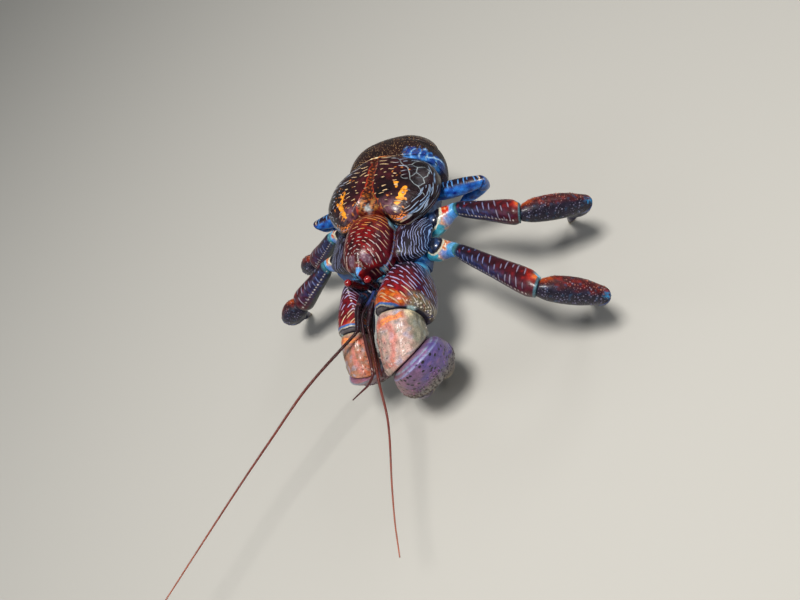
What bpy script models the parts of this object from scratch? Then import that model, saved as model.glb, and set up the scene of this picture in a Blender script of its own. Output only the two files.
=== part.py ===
"""Coconut crab (Birgus latro), a still life-size model standing on a floor.

The body axis runs along Y with the head at -Y, the crab's own left is +X, and up is +Z.
Sizes are in millimetres and are turned to metres when a mesh is made.
"""
import math

import bpy
import numpy as np
from mathutils import Matrix

MM = 0.001
GAP = 0.3                    # clearance that neighbouring plates and limb segments keep
COXA_Z = 112.0               # height of the leg roots above the floor

SHIELD_LENGTH = 72.0         # front shield, rostrum tip to cervical groove
LOBE_HALF_WIDTH = 61.5       # rear carapace over the branchial chambers
CARAPACE_REAR = 48.0         # y of the rear rim
CROWN = 47.0                 # top of the carapace above the leg roots
PLATE_FLOOR = 12.0           # underside of the carapace plates above the leg roots
THORAX_HALF_WIDTH = 47.0
THORAX_FRONT = -58.0
THORAX_REAR = 48.2
ABDOMEN_HALF_WIDTH = 54.0
ABDOMEN_LENGTH = 48.0
ABDOMEN_PIVOT = (50.0, -4.0)  # y and z (above the leg roots) that the abdomen curls round
EYE_RADIUS = 3.6


def clear_scene():
    for old in list(bpy.data.objects):
        bpy.data.objects.remove(old, do_unlink=True)


clear_scene()
CRAB = bpy.data.collections.new("coconut_crab")
bpy.context.scene.collection.children.link(CRAB)


def srgb(code):
    channels = [int(code[i:i + 2], 16) / 255.0 for i in (0, 2, 4)]
    return [c / 12.92 if c <= 0.04045 else ((c + 0.055) / 1.055) ** 2.4 for c in channels]


def finish(name, code, roughness):
    """One Principled material: a shell colour as sRGB hex and its roughness."""
    material = bpy.data.materials.new(name)
    material.use_nodes = True
    shader = material.node_tree.nodes["Principled BSDF"]
    shader.inputs["Base Color"].default_value = (*srgb(code), 1.0)
    shader.inputs["Roughness"].default_value = roughness
    shader.inputs["Metallic"].default_value = 0.0
    return material


def add_mesh(name, points, faces, material):
    """Make one node from millimetre points and outward faces."""
    mesh = bpy.data.meshes.new(name)
    mesh.from_pydata([tuple(p) for p in np.asarray(points) * MM], [], faces)
    mesh.materials.append(material)
    mesh.shade_smooth()
    mesh.set_sharp_from_angle(angle=math.radians(40))
    node = bpy.data.objects.new(name, mesh)
    CRAB.objects.link(node)
    return node


def smooth_table(rows, places):
    """Catmull-Rom through a few stations, read at the given values of the first column."""
    rows = np.asarray(rows, float)
    if np.isscalar(places):
        places = np.linspace(rows[0, 0], rows[-1, 0], places)
    padded = np.vstack([2 * rows[0] - rows[1], rows, 2 * rows[-1] - rows[-2]])
    out = []
    for s in places:
        i = min(max(int(np.searchsorted(rows[:, 0], s, side="right")) - 1, 0), len(rows) - 2)
        span = rows[i + 1, 0] - rows[i, 0]
        t = (s - rows[i, 0]) / span
        before, start, end, after = padded[i:i + 4]
        m0 = (end - before) / max(end[0] - before[0], 1e-9) * span
        m1 = (after - start) / max(after[0] - start[0], 1e-9) * span
        h = np.array([2 * t**3 - 3 * t**2 + 1, t**3 - 2 * t**2 + t,
                      -2 * t**3 + 3 * t**2, t**3 - t**2])
        out.append(h[0] * start + h[1] * m0 + h[2] * end + h[3] * m1)
    return np.array(out)


def closed_curve(points, count):
    """A smooth closed outline through the given points."""
    points = np.asarray(points, float)
    total = len(points)
    out = []
    for k in range(count):
        s = k * total / count
        i = int(s)
        t = s - i
        a, b, c, d = (points[(i + j) % total] for j in (-1, 0, 1, 2))
        out.append(0.5 * (2 * b + (c - a) * t + (2 * a - 5 * b + 4 * c - d) * t**2
                          + (3 * b - a - 3 * c + d) * t**3))
    return np.array(out)


def loft(name, rings, material):
    """Skin a row of equal rings and close both ends with a fan."""
    rings = [np.asarray(r, float) for r in rings]
    n = len(rings[0])
    points = list(np.vstack(rings))
    faces = []
    for k in range(len(rings) - 1):
        for i in range(n):
            j = (i + 1) % n
            faces.append((k * n + i, k * n + j, (k + 1) * n + j, (k + 1) * n + i))
    first, last = len(points), len(points) + 1
    points += [rings[0].mean(axis=0), rings[-1].mean(axis=0)]
    base = (len(rings) - 1) * n
    for i in range(n):
        j = (i + 1) % n
        faces.append((first, j, i))
        faces.append((last, base + i, base + j))
    volume = 0.0
    arr = np.array(points)
    for f in faces:
        for a, b in zip(f[1:-1], f[2:]):
            volume += np.dot(arr[f[0]], np.cross(arr[a], arr[b]))
    if volume < 0:
        faces = [tuple(reversed(f)) for f in faces]
    return add_mesh(name, points, faces, material)


def unit(v):
    v = np.asarray(v, float)
    return v / np.linalg.norm(v)


def direction(azimuth, pitch):
    a, p = math.radians(azimuth), math.radians(pitch)
    return np.array([math.cos(a) * math.cos(p), math.sin(a) * math.cos(p), math.sin(p)])


def segment_rings(start, end, stations, cut_start, cut_end, up, sides, rows, squareness=2.0):
    """Rings of a limb segment whose end rings lie in the joint planes.

    stations: (fraction, half height, half width, lift, shift) along the axis.
    cut_start, cut_end: normals of the planes that the two ends lie in. The rings lean
    from one plane to the other, so none crosses either.
    """
    start, end = np.asarray(start, float), np.asarray(end, float)
    axis = unit(end - start)
    across = unit(np.cross(axis, up))
    dorsal = np.cross(across, axis)
    length = np.linalg.norm(end - start)
    table = smooth_table(stations, rows) if rows else stations
    rings = []
    for s, high, wide, lift, shift in table:
        angles = np.arange(sides) * 2 * math.pi / sides
        c, q = np.cos(angles), np.sin(angles)
        power = 2.0 / squareness
        offset = (np.outer(np.sign(c) * np.abs(c)**power * wide + shift, across)
                  + np.outer(np.sign(q) * np.abs(q)**power * high + lift, dorsal))
        near = -(offset @ cut_start) / (axis @ cut_start)
        far = -(offset @ cut_end) / (axis @ cut_end)
        lean = near * (1 - s) + far * s
        rings.append(start + axis * (length * s) + offset + np.outer(lean, axis))
    return rings


def bisector(a, b):
    return unit(unit(a) + unit(b))


# Limbs. Every segment is one shell tube, and its ends lie in the planes of its joints.

LIMB_UP = np.array([0.0, 0.0, 1.0])


def limb(root, root_normal, parts, palette, foot_normal=None, up=LIMB_UP, end_normal=None):
    """A chain of segments: (node, length, azimuth, pitch, stations, sides, rows, squareness)."""
    joints = [np.asarray(root, float)]
    for part in parts:
        length, azimuth, pitch = part[1:4]
        if pitch is None:
            pitch = -math.degrees(math.asin(joints[-1][2] / length))
        joints.append(joints[-1] + length * direction(azimuth, pitch))
    axes = [unit(b - a) for a, b in zip(joints[:-1], joints[1:])]
    normals = [np.asarray(root_normal, float)]
    normals += [bisector(a, b) for a, b in zip(axes[:-1], axes[1:])]
    last_normal = foot_normal if foot_normal is not None else end_normal
    normals.append(np.asarray(last_normal, float) if last_normal is not None else axes[-1])
    for k, part in enumerate(parts):
        node, stations, sides, rows, squareness = part[0], *part[4:8]
        inset = GAP / 2
        start = joints[k] + axes[k] * (inset / abs(axes[k] @ normals[k]) if k else 0.0)
        last = k == len(parts) - 1
        open_end = last and end_normal is None
        end = joints[k + 1] - axes[k] * (0.0 if open_end else inset / abs(axes[k] @ normals[k + 1]))
        hint = up if abs(axes[k] @ up) < 0.95 else unit(np.array([0.0, 1.0, 0.2]))
        rings = segment_rings(start, end, stations, normals[k], normals[k + 1], hint,
                              sides, rows, squareness)
        if last and foot_normal is not None:
            rings[-1][:, 2] = 0.0
        loft(node, rings, palette[k])
    return joints


SHELL = finish("carapace_shell", "3a1210", 0.34)
SHIELD = finish("shield_shell", "6b1a12", 0.32)
FLANK = finish("flank_shell", "2b2440", 0.38)
MEMBRANE = finish("joint_membrane", "2f6fb0", 0.42)
STERNUM = finish("sternum_shell", "3c4a66", 0.45)
ABDOMEN_SKIN = finish("abdomen_skin", "2c3350", 0.55)
TERGITE = finish("tergite_shell", "2a1210", 0.36)
FACE = finish("face_shell", "232a42", 0.45)
CORNEA = finish("cornea", "b01016", 0.12)
STALK = finish("eyestalk_shell", "4a1014", 0.35)
FEELER = finish("feeler_shell", "5a2018", 0.45)
LEG_BASE = finish("leg_base_shell", "7fb4c4", 0.40)
LEG = finish("leg_shell", "4a1420", 0.36)
LEG_TIP = finish("leg_tip_shell", "3a2038", 0.40)
CLAW_ARM = finish("claw_arm_shell", "6a1a24", 0.34)
CLAW_WRIST = finish("claw_wrist_shell", "c58070", 0.42)
CLAW_PALM = finish("claw_palm_shell", "7a6aa0", 0.40)


def dome(name, outline, centre, levels, height, floor, material, inset=1.6):
    """A plate: a crowned top over a closed plan outline, a rim, and a flat underside.

    levels: fractions of the way from the centre to the outline.
    height(x, y, t): top surface above the leg roots.
    """
    centre = np.asarray(centre, float)
    rings = []
    for t in levels:
        plan = centre + (outline - centre) * t
        z = [COXA_Z + height(x, y, t) for x, y in plan]
        rings.append(np.column_stack([plan, z]))
    spread = np.linalg.norm(outline - centre, axis=1)[:, None]
    rim = centre + (outline - centre) * (1 - inset / spread)
    rings.append(np.column_stack([rim, np.full(len(rim), COXA_Z + floor)]))
    inner = centre + (outline - centre) * 0.35
    rings.append(np.column_stack([inner, np.full(len(inner), COXA_Z + floor)]))
    return loft(name, rings, material)


def mirrored(half):
    """A closed outline from its +X half, whose first and last points lie on the midline."""
    half = np.asarray(half, float)
    other = half[1:-1][::-1] * [-1, 1]
    return np.vstack([half, other])


LEVELS = (0.08, 0.24, 0.42, 0.58, 0.72, 0.84, 0.93, 0.985, 1.0)


def rear_height(x, y, t):
    """Two swollen branchial lobes with the heart region sunk between them."""
    rim = 16.5 + (25.0 if y > 0 else 11.0) * math.exp(-((x / 40.0)**2))
    fall = max(0.0, 1 - t**3.2)**0.5
    crown = CROWN - 2.0 - 0.0016 * (y - 8.0)**2 - 0.0022 * x**2
    funnel = 3.5 + 6.0 * min(1.0, max(0.0, (22.0 - y) / 34.0))
    valley = 1.9 * math.exp(-((x / funnel)**2)) * (1 - t**6)
    return rim + (crown - rim) * fall - valley


def rear_carapace():
    half = [(0, -13.5), (9, -14.6), (17, -18.6), (24.5, -25.0), (33, -25.8), (41, -20.6), (49, -12.5),
            (56.5, -3), (61, 8), (LOBE_HALF_WIDTH, 19), (58, 31.5), (48.5, 41.5), (26, 47.4),
            (0, CARAPACE_REAR)]
    outline = closed_curve(mirrored(half), 52)
    return dome("carapace_rear", outline, (0, 12), LEVELS, rear_height, PLATE_FLOOR, SHELL)


def shield_height(x, y, t):
    """Strongly arched across, with the stomach region swollen behind the beak."""
    rim = 24.0 + 11.0 * math.exp(-((y + 88.0) / 9.0)**2)
    fall = max(0.0, 1 - t**2.9)**0.5
    crown = CROWN - 1.0 - 5.5 * ((y + 15.0) / 70.0)**2
    swelling = 2.6 * math.exp(-((x / 11.0)**2) - ((y + 66.0) / 11.0)**2)
    return rim + (crown - rim) * fall + swelling


def front_shield():
    rear = -14.7
    half = [(0, rear), (8.5, rear - 1.2), (15.5, rear - 4.6), (21.0, rear - 12), (23.6, -38),
            (24.4, -52), (23.0, -64), (18.8, -72.6), (12.6, -74.0), (6.3, -78.0),
            (2.6, rear - SHIELD_LENGTH + 2.0), (0, rear - SHIELD_LENGTH)]
    outline = closed_curve(mirrored(half), 48)
    return dome("carapace_shield", outline, (0, -47), LEVELS, shield_height, PLATE_FLOOR, SHIELD)


def flank_height(x, y, t):
    """High beside the shield and falling outward to the leg roots."""
    across = min(1.0, max(0.0, (abs(x) - 25.0) / 30.0))
    return 24.0 - 15.5 * across**1.5 + 3.4 * (1 - t**2) - 3.0 * t**8 * (1 - across)


def flank(side, sign):
    outline = [(25.6, -61.6), (25.2, -51.0), (24.9, -38.0), (24.6, -30.0), (29.0, -27.2),
               (35.5, -26.2), (42.5, -21.2), (49.0, -16.5), (53.5, -20.0), (55.0, -31.0),
               (54.6, -44.0), (50.5, -54.0), (42.0, -59.4), (33.0, -61.8)]
    curve = closed_curve(outline, 36) * [sign, 1]
    levels = (0.1, 0.35, 0.6, 0.8, 0.93, 1.0)
    return dome(f"flank_{side}", curve, (39.0 * sign, -42.0), levels, flank_height, 6.0, FLANK, 0.8)


def thorax():
    """The body block under the plates: sternum below, leg roots on its flat sides."""
    rows = []
    shelf, top = 6.0 - GAP, PLATE_FLOOR - GAP
    full = THORAX_HALF_WIDTH
    for y, half, core in ((THORAX_FRONT, full, 22), (-50, full, 22), (-38, full, 22), (-26, full, 22),
                          (-23, full, 30), (-18.5, full, 39), (-13, full, 45.5), (-11, full, full),
                          (14, full, full), (34.5, full, full), (40, full - 3, full),
                          (THORAX_REAR, full - 9, full)):
        core = min(core, half - 0.6)
        keel = -27.0 + 0.004 * (y + 10.0)**2
        right = [(12, keel + 1.5), (20, keel), (34, keel + 2), (half - 5, -21), (half, -17),
                 (half, shelf), (core + 0.3, shelf), (core, top)]
        left = [(-x, z) for x, z in right[::-1]]
        loop = [(0, keel + 3.2)] + right + left
        rows.append(np.array([(x, y, COXA_Z + z) for x, z in loop]))
    return loft("thorax", rows, STERNUM)


def face():
    """Front of the head under the shield, between the claws, with the mouth below."""
    rows = []
    for y, half, low in ((THORAX_FRONT - GAP, 15.0, -16.0), (-66, 14.5, -14.0), (-73, 13.0, -8.0),
                         (-78, 12.5, -3.5), (-80.5, 10.5, -0.5)):
        top = PLATE_FLOOR - GAP
        mid = (low + top) / 2
        loop = [(0, low), (half * 0.6, low + 1), (half, low + 5), (half, mid), (half, top - 2),
                (half * 0.7, top)]
        loop += [(0, top)] + [(-x, z) for x, z in loop[1:][::-1]]
        rows.append(np.array([(x, y, COXA_Z + z) for x, z in loop]))
    return loft("face", rows, FACE)


# Abdomen. Every x has one D-shaped loop with its flat side against the thorax.

UNDER_REACH = 27.0           # how far the tucked tail runs forward under the thorax
UNDER_HALF_WIDTH = 27.0


def abdomen_radius(angle):
    a = math.radians(angle)
    high = 39.0 if math.sin(a) > 0 else 36.0
    return 1.0 / math.sqrt((math.cos(a) / ABDOMEN_LENGTH)**2 + (math.sin(a) / high)**2)


def abdomen_point(x, angle, lift):
    """A point of the abdomen's skin, lifted off it by some millimetres."""
    taper = math.sqrt(max(0.0, 1 - abs(x / ABDOMEN_HALF_WIDTH)**2.6))
    radius = abdomen_radius(angle) * taper + lift
    a = math.radians(angle)
    y0, z0 = ABDOMEN_PIVOT
    return np.array([x, y0 + radius * math.cos(a), COXA_Z + z0 + radius * math.sin(a)])


def tuck(x):
    """How far the underside runs forward at this x."""
    return 1.0 + (UNDER_REACH - 1.0) * max(0.0, 1 - (x / UNDER_HALF_WIDTH)**2)**0.5


def abdomen():
    front = THORAX_REAR + GAP
    ceiling = COXA_Z - 28.0
    rings = []
    for k in range(15):
        x = ABDOMEN_HALF_WIDTH * 0.985 * math.sin(math.radians(-90 + 180 * k / 14))
        arc = [abdomen_point(x, 86.0 - 176.0 * i / 15, 0.0) for i in range(16)]
        for p in arc:
            p[1] = max(p[1], front + 0.4)
        top, low = arc[0], arc[-1]
        roof = min(ceiling, low[2] + 8.0)
        shelf = max(roof, low[2] + 1.0)
        under = [np.array([x, front - tuck(x) * s, low[2] + (shelf - low[2]) * lift])
                 for s, lift in ((0.45, 0.04), (0.8, 0.25), (1.0, 0.62), (0.85, 0.94), (0.4, 1.0))]
        wall = [np.array([x, front, shelf + (top[2] - shelf) * s]) for s in (0.03, 0.35, 0.65, 0.98)]
        rings.append(np.array(arc + under + wall))
    return loft("abdomen", rings, ABDOMEN_SKIN)


def tergite(name, first, last, half, thickness):
    """One abdominal plate: a curved band over the skin, its hind edge standing proud."""
    rings = []
    count = 9
    for k in range(15):
        x = half * math.sin(math.radians(-90 + 180 * k / 14))
        reach = 1 - 0.62 * abs(x / half)**4
        middle = (first + last) / 2
        span = (last - first) / 2 * reach
        angles = [middle - span + 2 * span * i / (count - 1) for i in range(count)]
        body = thickness * (1 - 0.35 * (abs(x) / half)**4)
        over = [abdomen_point(x, a, GAP + body * (0.75 + 0.5 * i / (count - 1)))
                for i, a in enumerate(angles)]
        under = [abdomen_point(x, a, GAP + 0.4 * (x / half)**2) for a in angles[::-1]]
        rings.append(np.array(over + under))
    return loft(name, rings, TERGITE)


def tail_fan():
    """The tail plate tucked forward under the hind end of the abdomen."""
    low = abdomen_point(0.0, -90.0, 0.0)[2] - GAP
    rings = []
    for k in range(9):
        x = 15.0 * math.sin(math.radians(-90 + 22.5 * k))
        reach = 11.0 * math.sqrt(max(0.0, 1 - (x / 15.6)**2))
        rear, mid, fore = (THORAX_REAR - 9.0 + reach * s for s in (1, 0, -1))
        rings.append(np.array([(x, rear, low), (x, mid, low), (x, fore, low),
                               (x, fore + 0.4, low - 1.6), (x, mid, low - 3.4),
                               (x, rear - 0.4, low - 1.8)]))
    return loft("tail_fan", rings, TERGITE)


def ball(name, centre, radius, material, stretch=(1, 1, 1), segments=14, rings=8):
    points = []
    for k in range(rings + 1):
        a = math.radians(4 + (180 - 8) * k / rings)
        points.append([[centre[0] + radius * stretch[0] * math.sin(a) * math.cos(b),
                        centre[1] + radius * stretch[1] * math.sin(a) * math.sin(b),
                        centre[2] + radius * stretch[2] * math.cos(a)]
                       for b in (2 * math.pi * i / segments for i in range(segments))])
    return loft(name, points, material)


def rod(name, route, radii, material, sides=8, start_plane=None, end_plane=None):
    """A bent rod through a few points; the rings lie across the local direction."""
    route = np.asarray(route, float)
    tangents = [unit(route[min(i + 1, len(route) - 1)] - route[max(i - 1, 0)])
                for i in range(len(route))]
    if start_plane is not None:
        tangents[0] = np.asarray(start_plane, float)
    if end_plane is not None:
        tangents[-1] = np.asarray(end_plane, float)
    rings = []
    for p, t, r in zip(route, tangents, radii):
        hint = np.array([0, 0, 1.0]) if abs(t[2]) < 0.9 else np.array([0, 1.0, 0])
        u = unit(np.cross(t, hint))
        v = np.cross(u, t)
        rings.append([p + r * (math.cos(a) * u + math.sin(a) * v)
                      for a in (2 * math.pi * i / sides for i in range(sides))])
    return loft(name, rings, material)


def route_through(points, count):
    """Even steps along a smooth line through the given places."""
    points = np.asarray(points, float)
    steps = np.concatenate([[0], np.cumsum(np.linalg.norm(np.diff(points, axis=0), axis=1))])
    return smooth_table(np.column_stack([steps, points]), count)[:, 1:]


def eyes():
    """Short stalks set under the beak, each with a round cornea on its end."""
    for side, sign, spread in (("left", 1, 7.6), ("right", -1, 11.8)):
        root = np.array([3.6 * sign, -80.5 - GAP, COXA_Z + 8.1])
        bend = root + [2.6 * sign, -4.2, 4.6]
        tip = np.array([spread * sign, -87.9, COXA_Z + 26.0])
        rod(f"eyestalk_{side}", [root, bend, (bend + tip) / 2, tip], [2.3, 2.8, 2.9, 3.3], STALK,
            10, (0, -1, 0))
        away = unit(tip - bend)
        centre = tip + away * (EYE_RADIUS + GAP)
        ball(f"eye_{side}", centre, EYE_RADIUS, CORNEA)


def mouthparts():
    """Third maxillipeds: jointed palps hanging before the mouth."""
    for side, sign in (("left", 1), ("right", -1)):
        root = np.array([5.6 * sign, -73.0, COXA_Z - 8.0 - GAP - 1.2])
        places = [root, root + [0.5 * sign, -8, -9], root + [0.6 * sign, -15, -20],
                  root + [-0.6 * sign, -16, -34], root + [-1.5 * sign, -11, -47]]
        path = route_through(places, 9)
        radii = [3.2, 4.2, 4.6, 4.0, 4.3, 3.8, 3.2, 2.4, 1.0]
        rod(f"maxilliped_{side}", path, radii, FACE, 8, (0, -0.45, -0.9))


def feelers():
    """The long antennae: a jointed stem from beside the mouth, and a whip on its end."""
    right = [(-7, -106, 128), (-1.4, -134.8, 130), (-50, -183, 124), (-84, -225, 116),
             (-117, -269.5, 109), (-172, -365, 105), (-190, -396, 103)]
    left = [(6.4, -106, 125.5), (5.4, -128, 125), (9.7, -144.8, 120), (15.3, -176, 108),
            (23.8, -210, 97), (32.5, -264.7, 90), (38.2, -293.6, 87), (45, -320, 84)]
    for side, sign, places in (("left", 1, left), ("right", -1, right)):
        base = np.array([6.4 * sign, -80.5 - GAP, COXA_Z + 2.4])
        places = np.array(places, float)
        end = places[1]
        stem = route_through([base, base + [0.9 * sign, -7, 3.5], places[0], end], 7)
        outward = unit(places[2] - end)
        rod(f"antenna_{side}", stem, [2.8, 3.8, 3.4, 2.6, 2.7, 2.3, 2.0], FACE, 8, (0, -1, 0), outward)
        whip = route_through([end + outward * GAP, *places[2:]], 21)
        radii = [1.7 * (1 - 0.62 * (i / 20)**0.8) for i in range(21)]
        rod(f"flagellum_{side}", whip, radii, FEELER, 6, outward)


def antennules():
    """The thinner inner pair, elbowed, each with a fine end."""
    right = [(-2.5, -95, 117), (-4.5, -117, 123), (5.1, -148.7, 119), (10, -173.4, 112), (-16.1, -186, 98)]
    left = [(2.5, -95, 116), (2.0, -116, 117), (5.4, -139.6, 111), (16.3, -170.3, 106)]
    radii = (1.5, 1.9, 1.9, 1.8, 1.9, 1.7, 1.8, 1.6, 1.5, 1.2, 0.9, 0.7)
    for side, sign, places in (("left", 1, left), ("right", -1, right)):
        base = np.array([2.1 * sign, -80.5 - GAP, COXA_Z + 1.6])
        run = route_through([base, *places], len(radii))
        rod(f"antennule_{side}", run, radii, FEELER, 8, (0, -1, 0))


def walking_leg(prefix, root, parts, heft):
    """A long leg: base, arm (merus), wrist (carpus), hand (propodus) and toe (dactyl)."""
    h = heft
    base = [(0, 10.6, 10.8, 0, 0), (0.35, 11.2 * h, 11.0 * h, 0, 0), (0.7, 8.5 * h, 8.0 * h, 0, 0),
            (1, 6.6 * h, 6.0 * h, 0, 0)]
    merus = [(0, 6.4 * h, 5.8 * h, 0, 0), (0.12, 8.4 * h, 7.2 * h, 0, 0), (0.5, 10.0 * h, 9.2 * h, 0, 0),
             (0.88, 12.0 * h, 11.2 * h, 0, 0), (1, 9.4 * h, 8.4 * h, -1, 0)]
    carpus = [(0, 8.0 * h, 7.4 * h, 0, 0), (0.2, 11.4 * h, 10.4 * h, 1.0, 0),
              (0.6, 12.0 * h, 11.2 * h, 1.2, 0), (1, 8.4 * h, 7.8 * h, 0, 0)]
    propodus = [(0, 7.8 * h, 7.2 * h, 0, 0), (0.25, 9.4 * h, 8.2 * h, 0, 0),
                (0.7, 7.6 * h, 6.6 * h, 0, 0), (1, 5.4 * h, 4.8 * h, 0, 0)]
    dactyl = [(0, 5.0 * h, 4.5 * h, 0, 0), (0.3, 5.4 * h, 4.6 * h, 0, 0), (0.75, 3.2 * h, 2.8 * h, 0, 0),
              (1, 1.5, 1.5, 0, 0)]
    tables = (base, merus, carpus, propodus, dactyl)
    names = ("base", "merus", "carpus", "propodus", "dactyl")
    rows = (8, 9, 8, 7, 7)
    chain = [(f"{prefix}_{n}", length, az, pitch, table, 12, count, 2.2)
             for n, (length, az, pitch), table, count in zip(names, parts, tables, rows)]
    sign = 1 if root[0] > 0 else -1
    limb(root, (sign, 0, 0), chain, (LEG_BASE, LEG, LEG, LEG_TIP, LEG_TIP), (0, 0, 1))


def rear_leg(side, sign, arm_azimuth):
    """The small fourth leg, folded beside the carapace, with a little pincer."""
    root = (sign * (THORAX_HALF_WIDTH + GAP), 26.0, COXA_Z - 5.0)
    turn = (lambda a: a) if sign > 0 else (lambda a: 180 - a)
    arm = [(0, 8.2, 7.6, 0, 0), (0.2, 9.4, 8.4, 0, 0), (0.6, 9.0, 8.0, 0, 0), (1, 6.4, 6.0, 0, 0)]
    wrist = [(0, 6.0, 5.8, 0, 0), (0.5, 7.4, 6.8, 0, 0), (1, 5.0, 4.8, 0, 0)]
    hand = [(0, 4.8, 4.4, 0, 0), (0.3, 6.6, 5.2, 0, 0), (0.6, 6.2, 4.6, 0, 0), (1, 1.2, 1.0, 0, 0)]
    chain = [(f"leg4_{side}_arm", 45, arm_azimuth, -3, arm, 10, 8, 2),
             (f"leg4_{side}_carpus", 19, turn(110), -62, wrist, 10, 6, 2),
             (f"leg4_{side}_hand", 33, turn(196), -14, hand, 10, 8, 2)]
    limb(root, (sign, 0, 0), chain, (MEMBRANE, MEMBRANE, MEMBRANE))


def cheliped(side, root, parts, scale, girth, lean, wrist_cut):
    """The claw's base, massive arm (merus) and wrist (carpus).

    girth: how wide the arm is for its height. lean: how far the wrist sits toward the midline.
    """
    k = scale
    w = scale * girth
    ischium = [(0, 12.5 * k, 12 * k, 0, 0), (0.5, 13.5 * k, 12.5 * k, 0, 0), (1, 13.5 * k, 12 * k, 0, 0)]
    merus = [(0, 14 * k, 12.5 * w, 0, 0), (0.13, 24 * k, 17.5 * w, 2.5, 0), (0.4, 28.5 * k, 23 * w, 2, 0),
             (0.75, 30 * k, 25.5 * w, 0.5, 0), (0.93, 28 * k, 24.3 * w, -1, 0), (1, 23 * k, 20.6 * w, -2, 0)]
    carpus = [(0, 20 * k, 18.5 * k, 0, 0.5 * lean), (0.22, 22.5 * k, 21.5 * k, 0, lean),
              (0.7, 23.5 * k, 22.5 * k, 0, lean), (0.92, 22 * k, 21.5 * k, 0, 0.8 * lean),
              (1, 19.5 * k, 19 * k, 0, 0.8 * lean)]
    chain = [(f"claw_{side}_base", *parts[0], ischium, 16, 4, 2.2),
             (f"claw_{side}_merus", *parts[1], merus, 24, 12, 2.3),
             (f"claw_{side}_carpus", *parts[2], carpus, 22, 9, 2.4)]
    return limb(root, (0, -1, 0), chain, (LEG_BASE, CLAW_ARM, CLAW_WRIST), None, LIMB_UP, wrist_cut)


def palm(side, wrist, wrist_cut, parts, broad, scale, drift):
    """Palm with its fixed finger, and the moving finger hinged beside it.

    drift: how far the swollen outer face stands off the line from wrist to tip.
    """
    k = scale
    length, azimuth, pitch = parts
    if pitch is None:
        pitch = -math.degrees(math.asin(wrist[2] / length))
    axis = direction(azimuth, pitch)
    broad = unit(np.asarray(broad, float) - axis * (np.asarray(broad, float) @ axis))
    start = wrist + axis * (GAP / 2 / (axis @ wrist_cut))
    tip = wrist + axis * length
    step = 0.56
    d = drift * k
    body = [(0, 20 * k, 18 * k, 0, 0), (0.1, 27 * k, 22.5 * k, 0, 0.4 * d),
            (0.32, 30.5 * k, 24.5 * k, 0, 0.9 * d), (0.48, 29 * k, 23.5 * k, 0, d),
            (step, 25 * k, 20 * k, 0, 0.9 * d)]
    fixed = [(step + 0.012, 13.5 * k, 14.5 * k, 11 * k, 0.9 * d), (0.66, 12 * k, 12.5 * k, 13.5 * k, 0.7 * d),
             (0.82, 8 * k, 9 * k, 13 * k, 0.4 * d), (0.94, 4.4 * k, 4.8 * k, 9.5 * k, 0.1 * d),
             (1.0, 1.6, 1.6, 6 * k, 0)]
    floor = np.array([0, 0, 1.0])
    stations = np.vstack([smooth_table(body, 9), smooth_table(fixed, 8)])
    rings = segment_rings(start, tip, stations, wrist_cut, floor, broad, 22, None, 2.3)
    rings[-1][:, 2] = 0.0
    loft(f"claw_{side}_palm", rings, CLAW_PALM)
    face = step + 0.02
    slope = (1 - face) * wrist_cut / (axis @ wrist_cut) + face * floor / (axis @ floor)
    slope = slope - axis * (slope @ axis)
    aside = unit(np.cross(axis, broad)) * (0.9 * d) - broad * (13.6 * k)
    hinge = wrist + axis * (length * face - aside @ slope) + aside
    reach = wrist + axis * (length * 0.965) - broad * (3.0 * k)
    finger = [(0, 9.8 * k, 12 * k, 0, 0), (0.2, 10.2 * k, 12 * k, -2.6 * k, 0),
              (0.55, 7.6 * k, 8.8 * k, -4.8 * k, 0), (0.85, 4.4 * k, 4.6 * k, -3.6 * k, 0),
              (1, 1.3, 1.3, -1.2 * k, 0)]
    rings = segment_rings(hinge, reach, finger, unit(axis + slope), unit(reach - hinge), broad, 16, 11)
    loft(f"claw_{side}_finger", rings, CLAW_PALM)


def great_claw(side, root, parts, wrist_cut, hand, broad, arm_scale, girth, lean, hand_scale, drift):
    wrist_cut = unit(wrist_cut)
    joints = cheliped(side, root, parts, arm_scale, girth, lean, wrist_cut)
    palm(side, joints[-1], wrist_cut, hand, broad, hand_scale, drift)


rear_carapace()
front_shield()
flank("left", 1)
flank("right", -1)
thorax()
face()
abdomen()
TERGITE_BANDS = ((92, 49, 46), (46, 5, 47), (2, -38, 43), (-41, -78, 34))
for number, (first, last, half) in enumerate(TERGITE_BANDS, 2):
    tergite(f"tergite_{number}", first, last, half, 2.6)
tail_fan()
eyes()
mouthparts()
feelers()
antennules()

LEG_ROOT_X = THORAX_HALF_WIDTH + GAP
walking_leg("leg2_left", (LEG_ROOT_X, -40, COXA_Z - 7),
            ((34, -20, 12), (98, -33.7, -0.5), (54, 6, -38), (56, 125, -52), (41, 122, None)), 1.0)
walking_leg("leg3_left", (LEG_ROOT_X, -13, COXA_Z - 7),
            ((28, 22, 12), (70, -17, 0), (59, 23, -30), (58, 132, -50), (44, 130, None)), 0.98)
walking_leg("leg2_right", (-LEG_ROOT_X, -34, COXA_Z - 7),
            ((22, 192, 8), (60, 203.5, -28), (29, 190, -32), (46, 120, -50), (37, 125, None)), 1.0)
walking_leg("leg3_right", (-LEG_ROOT_X, -6, COXA_Z - 7),
            ((22, 172, 8), (54, 181.5, -38), (31, 164, -32), (40, 125, -46), (35, 120, None)), 0.95)
rear_leg("left", 1, 5.0)
rear_leg("right", -1, 186.0)
great_claw("left", (34.5, THORAX_FRONT - GAP, COXA_Z - 9), ((8, -84, 8), (52.2, -90.4, 12), (34.5, -80, -24)),
           (0.52, -0.50, -0.69), (106, 140, None), (1, 1, 0), 1.0, 1.0, 4.5, 1.0, 8.5)
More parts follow.
